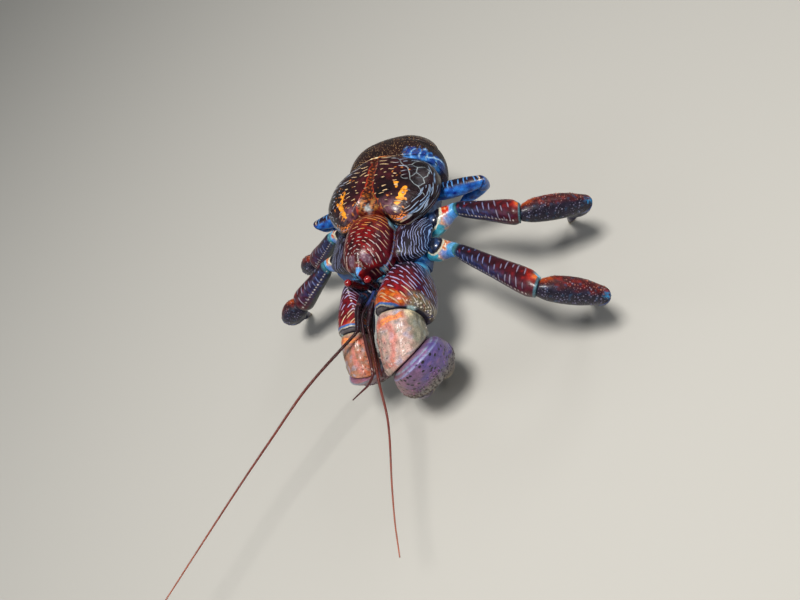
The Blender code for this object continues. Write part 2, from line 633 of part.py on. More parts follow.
great_claw("right", (-27, THORAX_FRONT - GAP, COXA_Z - 9), ((8, -92, 4), (61, -81.5, 4), (32, -78, -27)),
           (-0.10, -0.52, -0.85), (106, 118, None), (1, 0.4, 0), 0.69, 0.86, 0.0, 0.64, -6.0)


def centre_on_floor():
    """Move every node so that the origin is under the middle of the model's box."""
    corners = np.array([v.co for node in CRAB.objects for v in node.data.vertices])
    middle = (corners.min(axis=0) + corners.max(axis=0)) / 2
    for node in CRAB.objects:
        node.data.transform(Matrix.Translation((-middle[0], -middle[1], 0.0)))


centre_on_floor()
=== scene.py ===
"""Coconut crab (Birgus latro), a still life-size model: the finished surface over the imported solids.

Lengths in this file are millimetres in the crab's own body frame: +X its left, -Y ahead, +Z up.
"""

import math
from types import SimpleNamespace

import bpy
import numpy as np
from mathutils import Matrix, Vector


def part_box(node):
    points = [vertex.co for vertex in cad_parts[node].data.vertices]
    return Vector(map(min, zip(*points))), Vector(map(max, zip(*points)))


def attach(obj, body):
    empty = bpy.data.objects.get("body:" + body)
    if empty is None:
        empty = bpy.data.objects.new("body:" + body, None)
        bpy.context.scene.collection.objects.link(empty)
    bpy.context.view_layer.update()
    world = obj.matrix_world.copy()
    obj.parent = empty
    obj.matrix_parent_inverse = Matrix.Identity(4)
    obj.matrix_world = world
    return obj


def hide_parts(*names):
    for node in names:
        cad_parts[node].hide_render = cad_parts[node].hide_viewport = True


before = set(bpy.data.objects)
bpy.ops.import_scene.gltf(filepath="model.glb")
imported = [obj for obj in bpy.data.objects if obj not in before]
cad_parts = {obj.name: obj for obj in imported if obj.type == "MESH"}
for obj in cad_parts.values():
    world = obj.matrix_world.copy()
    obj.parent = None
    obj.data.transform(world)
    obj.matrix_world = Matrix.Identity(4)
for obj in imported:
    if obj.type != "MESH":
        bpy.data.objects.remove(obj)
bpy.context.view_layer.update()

# Rear carapace. One broad plate of calcified cuticle over both gill chambers, grown in one piece: two low
# lobes with a stippled furrow between them. Near black and glossy, it carries short raised wrinkles of pale
# cuticle, long fine ones along its sides, a net of them on the left lobe, and orange blotches.

MM = 0.001
COXA_Z = 112.0
BEAK_Y = -86.7
CROWN = 47.0
shield_low, shield_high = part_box("carapace_shield")
ORIGIN = np.array([(shield_low.x + shield_high.x) / 2, shield_low.y - BEAK_Y * MM, 0.0])


def linear(code):
    """An sRGB hex colour as linear numbers."""
    channels = np.array([int(code[i:i + 2], 16) / 255.0 for i in (0, 2, 4)])
    return np.where(channels <= 0.04045, channels / 12.92, ((channels + 0.055) / 1.055) ** 2.4)


def step(low, high, x):
    """Smoothly from 0 at low to 1 at high, in either order."""
    t = np.clip((np.asarray(x, float) - low) / (high - low), 0.0, 1.0)
    return t * t * (3 - 2 * t)


def blend(under, over, share):
    """Paint one colour over another; share is how much of it covers each point."""
    share = np.asarray(share, float)[..., None]
    over = linear(over) if isinstance(over, str) else over
    under = linear(under) if isinstance(under, str) else under
    return under + (over - under) * share


def paint(colour, *coats):
    """Coats of paint in turn, each a colour and how much of it covers each point."""
    for over, share in coats:
        colour = blend(colour, over, share)
    return colour


def ripple(points, size, seed):
    """Smooth uneven values between about -1 and 1 with features of the given size."""
    rng = np.random.default_rng(seed)
    total = np.zeros(points.shape[:-1])
    for _ in range(8):
        wave = rng.normal(size=3)
        wave *= 2 * math.pi / (size * rng.uniform(0.7, 1.6)) / np.linalg.norm(wave)
        total += np.sin(points @ wave + rng.uniform(0, 6.28))
    return total / 4.0


def clouds(points, size, seed):
    """The same unevenness between about 0 and 1."""
    return 0.5 + 0.5 * ripple(points, size, seed)


def patches(points, size, seed, low, high):
    """Soft-edged patches where that unevenness climbs from low to high."""
    return step(low, high, ripple(points, size, seed))


def near_line(points, line, width):
    """How much each plan point lies on a line through (x, y) places, with edges 0.3 mm soft.

    The line has this half width, or the one that a place gives as its third number.
    """
    nearest = np.full(points.shape[:-1], 1e9)
    line = np.asarray(line, float)
    for a, b in zip(line[:-1], line[1:]):
        span = b[:2] - a[:2]
        t = np.clip(((points[..., :2] - a[:2]) @ span) / max(span @ span, 1e-9), 0, 1)
        d = np.linalg.norm(points[..., :2] - a[:2] - t[..., None] * span, axis=-1)
        if len(a) > 2:
            d = d - (a[2] + (b[2] - a[2]) * t) + width
        nearest = np.minimum(nearest, d)
    return 1 - step(width - 0.3, width + 0.3, nearest)


def closed_curve(points, count):
    """A smooth closed outline through the given places."""
    points = np.asarray(points, float)
    s = np.arange(count) * len(points) / count
    i = s.astype(int)
    t = (s - i)[:, None]
    a, b, c, d = (points[(i + j) % len(points)] for j in (-1, 0, 1, 2))
    return 0.5 * (2 * b + (c - a) * t + (2 * a - 5 * b + 4 * c - d) * t**2 + (3 * b - a - 3 * c + d) * t**3)


def mirrored(half):
    """A whole outline from its left half, which starts and ends on the middle line."""
    half = np.asarray(half, float)
    return np.vstack([half, half[1:-1][::-1] * [-1, 1]])


def put(name, data):
    """An object of this data, in the scene."""
    holder = bpy.data.objects.new(name, data)
    bpy.context.scene.collection.objects.link(holder)
    return holder


def skin(name, rings, material, tint="808080", mark="c8c0c0", strength=0.0, rows=None, sharp=45, grain=0.0):
    """A closed piece from a grid of rings, with its painted colours and wrinkle places as attributes.

    tint: base colour. mark, strength: colour of the raised marks and how strongly they show.
    rows: (places along a row in dashes, row number, half width over row spacing, how full the rows are).
    grain: how thickly granules or bristles grow on it.
    """
    m, n = rings.shape[:2]
    points = np.vstack([rings.reshape(-1, 3), rings[0].mean(axis=0)[None], rings[-1].mean(axis=0)[None]])
    k, i = np.meshgrid(np.arange(m - 1), np.arange(n), indexing="ij")
    j = (i + 1) % n
    quads = np.stack([k * n + i, k * n + j, (k + 1) * n + j, (k + 1) * n + i], -1).reshape(-1, 4)
    i = np.arange(n)
    j = (i + 1) % n
    first = np.stack([np.full(n, m * n), j, i], -1)
    last = np.stack([np.full(n, m * n + 1), (m - 1) * n + i, (m - 1) * n + j], -1)
    a, b, c = points[quads[:, 0]], points[quads[:, 1]], points[quads[:, 2]]
    outward = np.einsum("ij,ij->i", a - points.mean(axis=0), np.cross(b - a, c - a)).sum()
    faces = quads.tolist() + first.tolist() + last.tolist()
    if outward < 0:
        faces = [f[::-1] for f in faces]
    mesh = bpy.data.meshes.new(name)
    mesh.from_pydata((points * MM + ORIGIN).tolist(), [], faces)
    tint = np.broadcast_to(linear(tint) if isinstance(tint, str) else tint, (m, n, 3))
    mark = np.broadcast_to(linear(mark) if isinstance(mark, str) else mark, (m, n, 3))
    strength = np.broadcast_to(strength, (m, n))[..., None]
    along, row, width, fill = rows if rows else (0.0, 0.0, 0.1, 0.0)
    chart = np.stack([np.broadcast_to(v, (m, n)) for v in (along, row, width)], -1)
    fill, grain = (np.broadcast_to(v, (m, n))[..., None] for v in (fill, grain))
    for label, kind, field, values in (
            ("tint", "FLOAT_COLOR", "color", np.concatenate([tint, np.ones((m, n, 1))], -1)),
            ("mark", "FLOAT_COLOR", "color", np.concatenate([mark, strength], -1)),
            ("chart", "FLOAT_VECTOR", "vector", chart), ("fill", "FLOAT", "value", fill),
            ("grain", "FLOAT", "value", grain)):
        flat = values.reshape(m * n, -1)
        flat = np.vstack([flat, values[0].mean(axis=0)[None], values[-1].mean(axis=0)[None]])
        mesh.attributes.new(label, kind, "POINT").data.foreach_set(field, flat.astype(np.float32).ravel())
    mesh.materials.append(material)
    mesh.shade_smooth()
    mesh.set_sharp_from_angle(angle=math.radians(sharp))
    return put(name, mesh)


def settle(piece, slot, *nodes):
    """Fix a finished piece on the body in place of its solids."""
    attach(piece, "root")
    if nodes:
        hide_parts(*nodes)


def add(tree, kind, inputs=(), **settings):
    """One node with its settings.

    inputs maps a socket's name or number to a value or a link, or lists them in the sockets' order. A node
    given there stands for its first output.
    """
    node = tree.nodes.new(kind)
    for key, value in settings.items():
        setattr(node, key, value)
    for socket, value in (inputs if isinstance(inputs, dict) else dict(enumerate(inputs))).items():
        if isinstance(value, bpy.types.Node):
            value = value.outputs[0]
        if isinstance(value, bpy.types.NodeSocket):
            tree.links.new(value, node.inputs[socket])
        else:
            node.inputs[socket].default_value = value
    return node


def blank_material(name, sockets):
    """A new material with these values on its surface's sockets, its node tree, and the surface."""
    material = bpy.data.materials.new(name)
    material.use_nodes = True
    surface = material.node_tree.nodes["Principled BSDF"]
    for socket, value in sockets.items():
        surface.inputs[socket].default_value = value
    return material, material.node_tree, surface


def cuticle(name, roughness, coat, row_spacing=None, sway=0.5, beads=None, pits=None, mottle=0.3, relief=0.35,
            scatter=0.18):
    """Crab cuticle: painted pigment under a clear gloss, with the raised marks that the piece has.

    row_spacing: mm between rows of wrinkles; sway: how far noise bends the rows, scatter: how far each dash
    strays from its row, both in rows.
    beads: (spacing, radius) in mm of pale granules. pits: the same for dark hair pits.
    """
    material, tree, surface = blank_material(name, {"IOR": 1.5, "Coat Weight": coat, "Coat Roughness": 0.16,
                                                    "Specular IOR Level": 0.3})
    place = add(tree, "ShaderNodeTexCoord").outputs["Object"]
    mark = add(tree, "ShaderNodeAttribute", attribute_name="mark").outputs
    tint = add(tree, "ShaderNodeAttribute", attribute_name="tint")
    # pigment clouds of about 5 mm, and a grain of 1 mm that breaks the gloss
    cloud = add(tree, "ShaderNodeTexNoise", {"Vector": place, "Scale": 1 / (5 * MM), "Detail": 4.0,
                                            "Roughness": 0.65})
    grain = add(tree, "ShaderNodeTexNoise", {"Vector": place, "Scale": 1 / (1 * MM), "Detail": 2.0})
    cloud_shade = add(tree, "ShaderNodeMapRange", (cloud, 0.28, 0.72, 1 - mottle, 1 + mottle),
                      interpolation_type="SMOOTHSTEP")
    grain_shade = add(tree, "ShaderNodeMapRange", (grain, 0.3, 0.7, 0.82, 1.18),
                      interpolation_type="SMOOTHSTEP")
    shade = add(tree, "ShaderNodeMath", (cloud_shade, grain_shade), operation="MULTIPLY")
    colour = add(tree, "ShaderNodeVectorMath", {0: tint, "Scale": shade}, operation="SCALE")
    height = add(tree, "ShaderNodeMath", (cloud, 1.2), operation="MULTIPLY")
    height = add(tree, "ShaderNodeMath", (grain, 0.3, height), operation="MULTIPLY_ADD")
    if row_spacing:
        # rows cut into dashes of chance length, lean and offset: a pale ridge, and dark at its foot,
        # partly its own pigment and partly painted shade under the ridge
        chart = add(tree, "ShaderNodeAttribute", attribute_name="chart").outputs["Vector"]
        chart = add(tree, "ShaderNodeSeparateXYZ", (chart,)).outputs
        fill = add(tree, "ShaderNodeAttribute", attribute_name="fill").outputs["Fac"]
        bend = add(tree, "ShaderNodeTexNoise", {"Vector": place, "Scale": 1 / (2.6 * row_spacing * MM),
                                               "Detail": 1.0})
        bend = add(tree, "ShaderNodeMath", (bend, 2 * sway, -sway), operation="MULTIPLY_ADD")
        level = add(tree, "ShaderNodeMath", (chart["Y"], bend), operation="ADD")
        row = add(tree, "ShaderNodeMath", (level,), operation="FLOOR")
        luck = add(tree, "ShaderNodeTexWhiteNoise", {"W": row}, noise_dimensions="1D")
        way = add(tree, "ShaderNodeMath", (luck, 9.7, chart["X"]), operation="MULTIPLY_ADD")
        cell = add(tree, "ShaderNodeMath", (way,), operation="FLOOR")
        run = add(tree, "ShaderNodeMath", (way,), operation="FRACT")
        run = add(tree, "ShaderNodeMath", (run, 0.5), operation="SUBTRACT")
        dice = add(tree, "ShaderNodeTexWhiteNoise",
                   {"Vector": add(tree, "ShaderNodeCombineXYZ", (row, cell))},
                   noise_dimensions="2D").outputs["Color"]
        dice = add(tree, "ShaderNodeSeparateColor", (dice,)).outputs
        stray = add(tree, "ShaderNodeMath", (dice[1], 2 * scatter, -scatter), operation="MULTIPLY_ADD")
        lean = add(tree, "ShaderNodeMath", (dice[2], 0.6, -0.3), operation="MULTIPLY_ADD")
        stray = add(tree, "ShaderNodeMath", (run, lean, stray), operation="MULTIPLY_ADD")
        off = add(tree, "ShaderNodeMath", (level,), operation="FRACT")
        off = add(tree, "ShaderNodeMath", (off, 0.5), operation="SUBTRACT")
        off = add(tree, "ShaderNodeMath", (off, stray), operation="SUBTRACT")
        reach = add(tree, "ShaderNodeMath", (dice[0], 0.55, 0.18), operation="MULTIPLY_ADD")
        reach = add(tree, "ShaderNodeMath", (fill, reach), operation="MULTIPLY")
        reach = add(tree, "ShaderNodeMath", (reach, 0.001), operation="MAXIMUM")
        ends = add(tree, "ShaderNodeMath", (run, reach), operation="DIVIDE")
        ends = add(tree, "ShaderNodeMath", (ends,), operation="ABSOLUTE")
        ends = add(tree, "ShaderNodeMath", (ends, 3.0), operation="POWER")
        sides = add(tree, "ShaderNodeMath", (off, chart["Z"]), operation="DIVIDE")
        far = add(tree, "ShaderNodeMath", (sides, sides, ends), operation="MULTIPLY_ADD")
        ridge = add(tree, "ShaderNodeMapRange", (far, 1.5, 0.5), interpolation_type="SMOOTHSTEP")
        ridge = add(tree, "ShaderNodeMath", (ridge, mark["Alpha"]), operation="MULTIPLY")
        # foot: the dark rim beside each ridge, partly the cuticle's own outline and partly painted shade
        foot = add(tree, "ShaderNodeMapRange", (far, 8.0, 1.5, 0.0, 0.6), interpolation_type="SMOOTHSTEP")
        foot = add(tree, "ShaderNodeMath", (foot, mark["Alpha"]), operation="MULTIPLY")
        colour = add(tree, "ShaderNodeMix", {0: foot, 6: colour, 7: (*linear("160a16"), 1.0)},
                     data_type="RGBA").outputs[2]
        colour = add(tree, "ShaderNodeMix", {0: ridge, 6: colour, 7: mark["Color"]},
                     data_type="RGBA").outputs[2]
        height = add(tree, "ShaderNodeMath", (height, ridge), operation="ADD")
    for spots, edge, rise in ((beads, 0.3, 1.2), (pits, 0.75, -1.6)):
        if spots:
            spacing, radius = spots
            distance = add(tree, "ShaderNodeTexVoronoi", {"Vector": place, "Scale": 1 / (spacing * MM),
                                                         "Randomness": 0.8 if rise > 0 else 0.9})
            spot = add(tree, "ShaderNodeMapRange", (distance, radius / spacing, edge * radius / spacing),
                       interpolation_type="SMOOTHSTEP")
            shown = add(tree, "ShaderNodeMath", (spot, mark["Alpha"]), operation="MULTIPLY")
            colour = add(tree, "ShaderNodeMix", {0: shown, 6: colour, 7: mark["Color"]},
                         data_type="RGBA").outputs[2]
            height = add(tree, "ShaderNodeMath", (spot if rise > 0 else shown, rise, height),
                         operation="MULTIPLY_ADD")
    worn = add(tree, "ShaderNodeMapRange", (cloud, 0.3, 0.75, roughness - 0.05, roughness + 0.12),
               interpolation_type="SMOOTHSTEP")
    bump = add(tree, "ShaderNodeBump", {"Height": height, "Distance": relief * MM, "Strength": 1.0})
    for socket, source in (("Base Color", colour), ("Roughness", worn), ("Normal", bump)):
        source = source.outputs[0] if isinstance(source, bpy.types.Node) else source
        tree.links.new(source, surface.inputs[socket])
    return material


def plate(outline, centre, levels, height, floor, inset):
    """The rings of a crowned plate, each point's depth in from the rim, and its place along the rim."""
    centre = np.asarray(centre, float)
    t = np.asarray(levels)[:, None]
    plan = centre + (outline - centre)[None] * t[..., None]
    z = COXA_Z + height(plan[..., 0], plan[..., 1], t)
    spread = np.linalg.norm(outline - centre, axis=1)
    depth = (1 - t) * spread[None]
    top = np.concatenate([plan, z[..., None]], axis=-1)
    rim = centre + (outline - centre) * (1 - inset / spread)[:, None]
    wall = []
    for share in (0.08, 0.2, 0.4, 0.7, 0.93, 1.0, 1.0):
        edge = outline if share < 1 else rim
        drop = (COXA_Z + floor - top[-1, :, 2]) * share
        wall.append(np.column_stack([edge, top[-1, :, 2] + drop]))
        depth = np.concatenate([depth, drop[None]])
    wall[-1] = np.column_stack([centre + (outline - centre) * 0.5, wall[-1][:, 2]])
    length = np.linalg.norm(np.diff(np.vstack([outline, outline[:1]]), axis=0), axis=1)
    way = np.concatenate([[0.0], np.cumsum(length)[:-1]])
    return np.concatenate([top, np.array(wall)]), depth, np.broadcast_to(way, depth.shape)


def rear_height(x, y, t):
    """Two swollen lobes with the heart region sunk between them."""
    rim = 16.5 + np.where(y > 0, 25.0, 11.0) * np.exp(-((x / 40.0)**2))
    fall = np.maximum(0.0, 1 - t**3.2)**0.5
    crown = CROWN - 2.3 - 0.0016 * (y - 8.0)**2 - 0.0022 * x**2
    funnel = 3.5 + 6.0 * np.clip((22.0 - y) / 34.0, 0.0, 1.0)
    valley = 1.9 * np.exp(-((x / funnel)**2)) * (1 - t**6)
    return rim + (crown - rim) * fall - valley


def levels_to_rim(count):
    """Fractions from the middle to the rim, closer together near the rim."""
    return 1 - (1 - np.linspace(0.012, 1.0, count))**1.25


LOBES = [(0, -13.5), (9, -14.6), (17, -18.6), (24.5, -25.0), (33, -25.8), (41, -20.6), (49, -12.5),
         (56.5, -3), (61, 8), (61.5, 19), (58, 31.5), (48.5, 41.5), (26, 47.4), (0, 48.0)]
outline = closed_curve(mirrored(LOBES), 600)
rings, depth, way = plate(outline, (0, 12), levels_to_rim(132), rear_height, 12.0, 1.6)
x, y = rings[..., 0], rings[..., 1]
side = np.abs(x)
# shine: a painted pinkish-violet sheen toward the front of each lobe, where the wrinkles are also weakened
shine = step(17, 4, np.hypot(side - 21, (y + 15) * 1.5)) * step(0, 3, depth)
tint = paint(
    "12060a", ("300a12", clouds(rings, 34, 3)),
    ("48141a", 0.55 * patches(rings, 15, 4, 0.1, 0.9) * step(48, 20, side)),
    ("7c4e5c", 0.75 * shine * (0.75 + 0.25 * ripple(rings, 5, 18))),
    ("08040a", 0.5 * step(30, 50, side)))
# the furrow: orange-brown stipple, narrow behind and spreading like a funnel in front
funnel = 3.0 + 8.5 * step(14, -14, y) + 0.9 * ripple(rings, 7, 5)
furrow = step(funnel + 1.4, funnel - 1.4, side) * step(-1.0, 0.5, depth)
tint = paint(
    tint, ("3a120c", furrow * 0.9),
    ("a8541c", furrow * patches(rings, 2.2, 6, 0.1, 0.7) * 0.8),
    ("b07430", furrow * step(4, -6, y) * patches(rings, 5.0, 7, -0.3, 0.7) * 0.7),
    # a bluish-white painted highlight near the front of the furrow
    ("c4d0d4", step(5.4, 0.6, np.hypot(x + 2.0, (y + 10.8) * 1.4) + 1.1 * ripple(rings, 3, 19)) * 0.9),
    ("a83418", step(0.8, 0.3, np.abs(side - funnel - 0.6)) * step(46, 38, y) * 0.8))
# orange blotches as (x, y, radius), and chance flecks of the same colour
rough = rings[..., :2] + 0.9 * np.stack([ripple(rings, 4.5, 8), ripple(rings, 4.5, 9)], -1)
BLOTCHES = [[(29.0, 8.0, 1.5), (30.6, 4.2, 1.9)], [(28.0, 8.6, 0.8), (31.5, 8.2, 0.8)],
            [(38.4, 1.6, 2.2), (35.6, -2.6, 2.9), (34.6, -7.4, 2.4), (31.2, -13.0, 1.5)],
            [(34.8, -7.4, 2.0), (39.0, -8.8, 1.0)], [(34.0, -7.4, 1.6), (30.4, -8.2, 0.8)],
            [(-28.4, 9.6, 1.3), (-30.2, 2.4, 1.8), (-32.6, -3.4, 2.9), (-29.0, -10.8, 2.3),
             (-24.6, -17.6, 1.2)], [(-32.6, -3.4, 2.2), (-37.0, 0.2, 1.2)],
            [(-30.0, 6.0, 1.2), (-33.0, 8.8, 0.7)], [(-26.0, -14.0, 1.4), (-29.5, -17.0, 0.8)]]
FLECKS = 64
chance = np.random.default_rng(11)
drawn = [chance.uniform(low, high, FLECKS) for low, high in ((-44, 40), (-21, 30), (0.3, 0.85))]
for u, v, radius in zip(*drawn):
    if abs(u) > 9:
        fleck = near_line(rough, [(u, v, radius), (u + radius, v + 0.3, radius)], 0.5)
        tint = blend(tint, "d07c34", fleck * 0.85)
for blotch in BLOTCHES:
    tint = blend(tint, "f49a26", near_line(rough, blotch, 1.0))
# the net on the left lobe: wrinkles that have joined into closed cells
sway = rings[..., :2] + 0.7 * np.stack([ripple(rings, 9, 14), ripple(rings, 9, 15)], -1)
NET = [[(23.0, 43.0), (25.7, 39.8), (30.0, 34.0), (34.7, 28.7), (37.8, 25.4), (39.9, 20.4), (42.1, 10.6),
        (47.0, 6.4), (49.1, 4.9), (51.4, 1.0), (53.0, -1.9)],
       [(34.7, 28.7), (40.5, 29.6), (46.0, 27.4), (46.8, 19.9), (43.0, 15.4), (41.0, 15.0)],
       [(46.0, 27.4), (51.5, 29.0), (55.5, 25.0), (55.0, 19.0), (52.3, 14.8), (46.8, 19.9)],
       [(52.3, 14.8), (54.0, 9.0), (49.1, 4.9)], [(40.5, 29.6), (42.5, 35.5), (47.0, 37.0)],
       [(39.6, 12.4), (35.8, 12.2), (33.5, 14.6)]]
for strand in NET:
    tint = blend(tint, "b4c0c4", near_line(sway, strand, 0.2) * patches(rings, 8, 16, -1.3, -0.4))
# pale rims: the hind lip is orange and cream, the front margin pink under a dotted orange edge
lip = step(1.6, 0.8, np.abs(depth - 0.4)) * step(28, 38, y) * step(50, 40, side)
edge_line = step(0.45, 0.15, np.abs(depth - 1.4 - 0.3 * ripple(rings, 9, 20)))
edge_line = edge_line * step(20, 26, side) * step(44, 40, y)
margin = step(4.4, 3.4, depth) * step(0.2, 1.0, depth) * step(-12, -18, y)
margin = margin * step(18, 22, side) * step(40, 35, side)
tint = paint(
    tint, ("c07038", lip),
    ("f0d8a8", lip * patches(rings, 8, 13, -0.2, 0.4)),
    ("84a4cc", edge_line * patches(rings, 7, 21, -0.9, 0.1) * 0.8),
    ("dc7c34", margin * patches(rings, 2.0, 12, -0.1, 0.2)),
    ("5a1418", 0.8 * step(16, 9, side) * step(-11, -13.5, y)))
# rows of wrinkles: scattered short dashes over the crown, and closer long ones along the side rims, which
# join into lines on the left
inland = 8.0 - 3.0 * step(0, 12, y) * (x > 0) - 2.5 * step(-8, -18, y)
bank = step(0.8, -0.8, depth - inland) * step(28, 35, side + 0.6 * np.maximum(0, -10 - y)) * step(45, 40, y)
fine = bank > 0.5
edge_gap = 1 - np.exp(-((depth - inland) / 0.6)**2) * (bank > 0.02)
bow = y - 0.006 * (side - 22)**2 * np.sign(y - 6)
spread = 1.9 + 1.1 * step(0, 26, y) + 0.7 * (x < 0)
along = np.where(fine, way / np.where(x > 0, 21.0, 8.0), x / 10.5 + 40)
row = np.where(fine, (depth + 5) / spread, bow / 6.0 + 60)
width = np.where(fine, 0.25 / spread, 0.085)
behind = step(22, 34, np.abs(y - 4) + 0.35 * side)
fill = np.where(fine, np.where(x > 0, 0.7 + 0.65 * step(16, 0, y), 0.62), 0.36 + 0.5 * behind)
mark = paint(
    "dcb888", ("9cb0cc", step(28, 46, side + 0.6 * np.maximum(0, y - 12))),
    ("b8b0bc", 0.7 * step(-30, -42, x)))
strength = (1 - furrow) * edge_gap * step(0.5, 1.5, depth) * (1 - 0.7 * shine)
strength = strength * (1 - 0.9 * step(33, 38, x) * step(-4, 2, y) * step(38, 34, y) * ~fine)
rim_strength = (1 - margin) * step(-5.0, -3.5, depth) * step(34, 40, side + np.maximum(0, -y))
strength = np.where(fine, rim_strength, strength) * 0.95
# thick limy cuticle under a worn clear layer: near black, with a broad soft shine and raised pale wrinkles
LOBE_SHELL = cuticle("glossy_black_cuticle", 0.32, 0.2, row_spacing=6.0, sway=0.6, mottle=0.5, scatter=0.42)
lobes = skin("rear_carapace_shell", rings, LOBE_SHELL, tint, mark, strength, (along, row, width, fill))
settle(lobes, "carapace_shell", "carapace_rear")

# Front shield. The arched plate over the stomach, with the beak between the eyes: blood-red cuticle in arcs
# of orange and cream wrinkles, with a grey-violet painted sheen and pale painted highlights on the swelling
# behind the beak, and a chalky line down each seam.

SHIELD = [(0, -14.7), (8.5, -15.9), (15.5, -19.3), (21.0, -26.7), (23.6, -38), (24.4, -52), (23.0, -64),
          (18.8, -72.6), (12.6, -74.0), (6.3, -78.0), (2.6, -84.7), (0, BEAK_Y)]


def shield_height(x, y, t):
    """Strongly arched across, with the stomach region swollen behind the beak."""
    rim = 24.0 + 11.0 * np.exp(-((y + 88.0) / 9.0)**2)
    fall = np.maximum(0.0, 1 - t**2.9)**0.5
    crown = CROWN - 1.2 - 5.5 * ((y + 15.0) / 70.0)**2
    swelling = 2.6 * np.exp(-((x / 11.0)**2) - ((y + 66.0) / 11.0)**2)
    return rim + (crown - rim) * fall + swelling


outline = closed_curve(mirrored(SHIELD), 440)
rings, depth, _ = plate(outline, (0, -47), levels_to_rim(110), shield_height, 12.0, 1.6)
x, y, z = rings[..., 0], rings[..., 1], rings[..., 2] - COXA_Z
side = np.abs(x)
# lens: a grey-violet painted sheen on the swelling behind the beak, with pale painted highlights in it
lens = step(1.15, 0.75, np.hypot((side - 7.6) / 5.2, (y + 70.5) / 3.8) + 0.12 * ripple(rings, 4, 42))
brow = np.hypot((side - 1.2) / 3.0, (y + 77.5) / 3.4) + 0.25 * ripple(rings, 2.4, 45)
beak = step(0.5, -0.3, np.abs(x) - (y + 88.5) * 0.36 - 0.2 * ripple(rings, 2, 47)) * step(-78.4, -79.6, y)
beak = beak * step(29, 32, z)
splash = np.sqrt((side - 17.5)**2 + (y + 73.0)**2 + (z - 20.0)**2) + 1.7 * ripple(rings, 1.8, 48)
seam = np.abs(z - 21.8 - 0.5 * ripple(rings, 12, 43))
tint = paint(
    "38040a", ("7c080a", clouds(rings, 14, 40)),
    ("20040c", patches(rings, 7, 53, 0.1, 0.9) * 0.6),
    ("8c340c", step(-44, -24, y) * step(21, 10, side) * (0.55 + 0.45 * ripple(rings, 6, 41))),
    # darker on the crab's right side of the shield: painted shade
    ("1c0610", 0.7 * step(-15, -22, x)),
    ("4a0a1c", 0.6 * step(14, 21, x)),
    # the painted sheen on the swelling, and its pale painted highlights
    ("68485a", lens * 0.9),
    ("a8949c", lens * patches(rings, 2.6, 46, 0.2, 0.9) * 0.5),
    ("8c8464", step(1.1, 0.7, brow) * step(0.5, 0.8, brow) * 0.6),
    # the front wall under the beak darkened: painted shade under the overhanging beak
    ("240814", step(-70, -75, y) * step(30, 26, z) * 0.85),
    ("4c8cc8", beak * 0.95),
    ("9cc4dc", beak * patches(rings, 2.4, 49, 0.1, 0.8) * 0.7),
    ("4ab0dc", step(4.2, 2.8, splash)),
    ("c8e4ec", step(1.6, 0.6, splash) * 0.8),
    ("b0b8f0", step(1.0, 0.4, seam) * step(-22, -26, y) * step(-72, -69, y) * step(0, -0.3, depth)),
    ("d8b08a", step(0.8, 0.35, np.abs(depth - 0.8)) * step(-26, -21, y)),
    ("88b8cc", step(1.4, 0.6, depth) * step(-20, -22, y) * step(-34, -29, y) * step(8, 14, side)),
    ("b08a80", 0.8 * step(0.7, 0.3, np.abs(depth - 0.5)) * step(-14, -18, x) * step(-24, -30, y)))
# the arcs bend round a place ahead of the beak, closer together near it
reach = np.hypot(x * (1.12 - 0.2 * step(-40, -18, y)), y + 78.0)
bearing = np.arctan2(x, y + 80.0)
fill = 0.62 + 0.4 * step(4, 18, x) + 0.3 * step(-62, -72, y)
rows = (bearing * 4.2 + 30, reach**1.18 / 9.2 + 60, 0.105, fill)
mark = blend("dc9048", "c4a8a0", step(-34, -50, y) + 0.4 * ripple(rings, 9, 44))
strength = 0.95 * np.maximum(step(0.4, 1.4, depth + 8 * (y > -24)), step(-0.6, -1.6, depth))
strength = strength * step(-82, -76, y) * step(-10.5, -8.5, depth) * (1 - 0.9 * lens)
strength = strength * (1 - 0.6 * step(-72, -76, y))
# the same cuticle with red pigment under its clear layer: a deep red, with a small light on each raised arc
SHIELD_SHELL = cuticle("blood_red_cuticle", 0.32, 0.08, row_spacing=5.2, sway=0.4, mottle=0.4, scatter=0.26)
shield = skin("front_shield_shell", rings, SHIELD_SHELL, tint, mark, strength, rows)
settle(shield, "shield_shell", "carapace_shield")

# Flank plates. Thin cuticle from the side seam down to the leg roots, which flexes as the gill chamber pumps:
# dark violet, combed from front to back with long wavy pale lines two millimetres apart.

FLANK = [(25.6, -61.6), (25.2, -51.0), (24.9, -38.0), (24.6, -30.0), (29.0, -27.2), (35.5, -26.2),
         (42.5, -21.2), (49.0, -16.5), (53.5, -20.0), (55.0, -31.0), (54.6, -44.0), (50.5, -54.0),
         (42.0, -59.4), (33.0, -61.8)]


def flank_height(x, _, t):
    """High beside the shield and falling outward to the leg roots."""
    across = np.clip((np.abs(x) - 25.0) / 30.0, 0.0, 1.0)
    return 24.0 - 15.5 * across**1.5 + 3.4 * (1 - t**2) - 3.0 * t**8 * (1 - across)


SIDES = (("left", 1), ("right", -1))
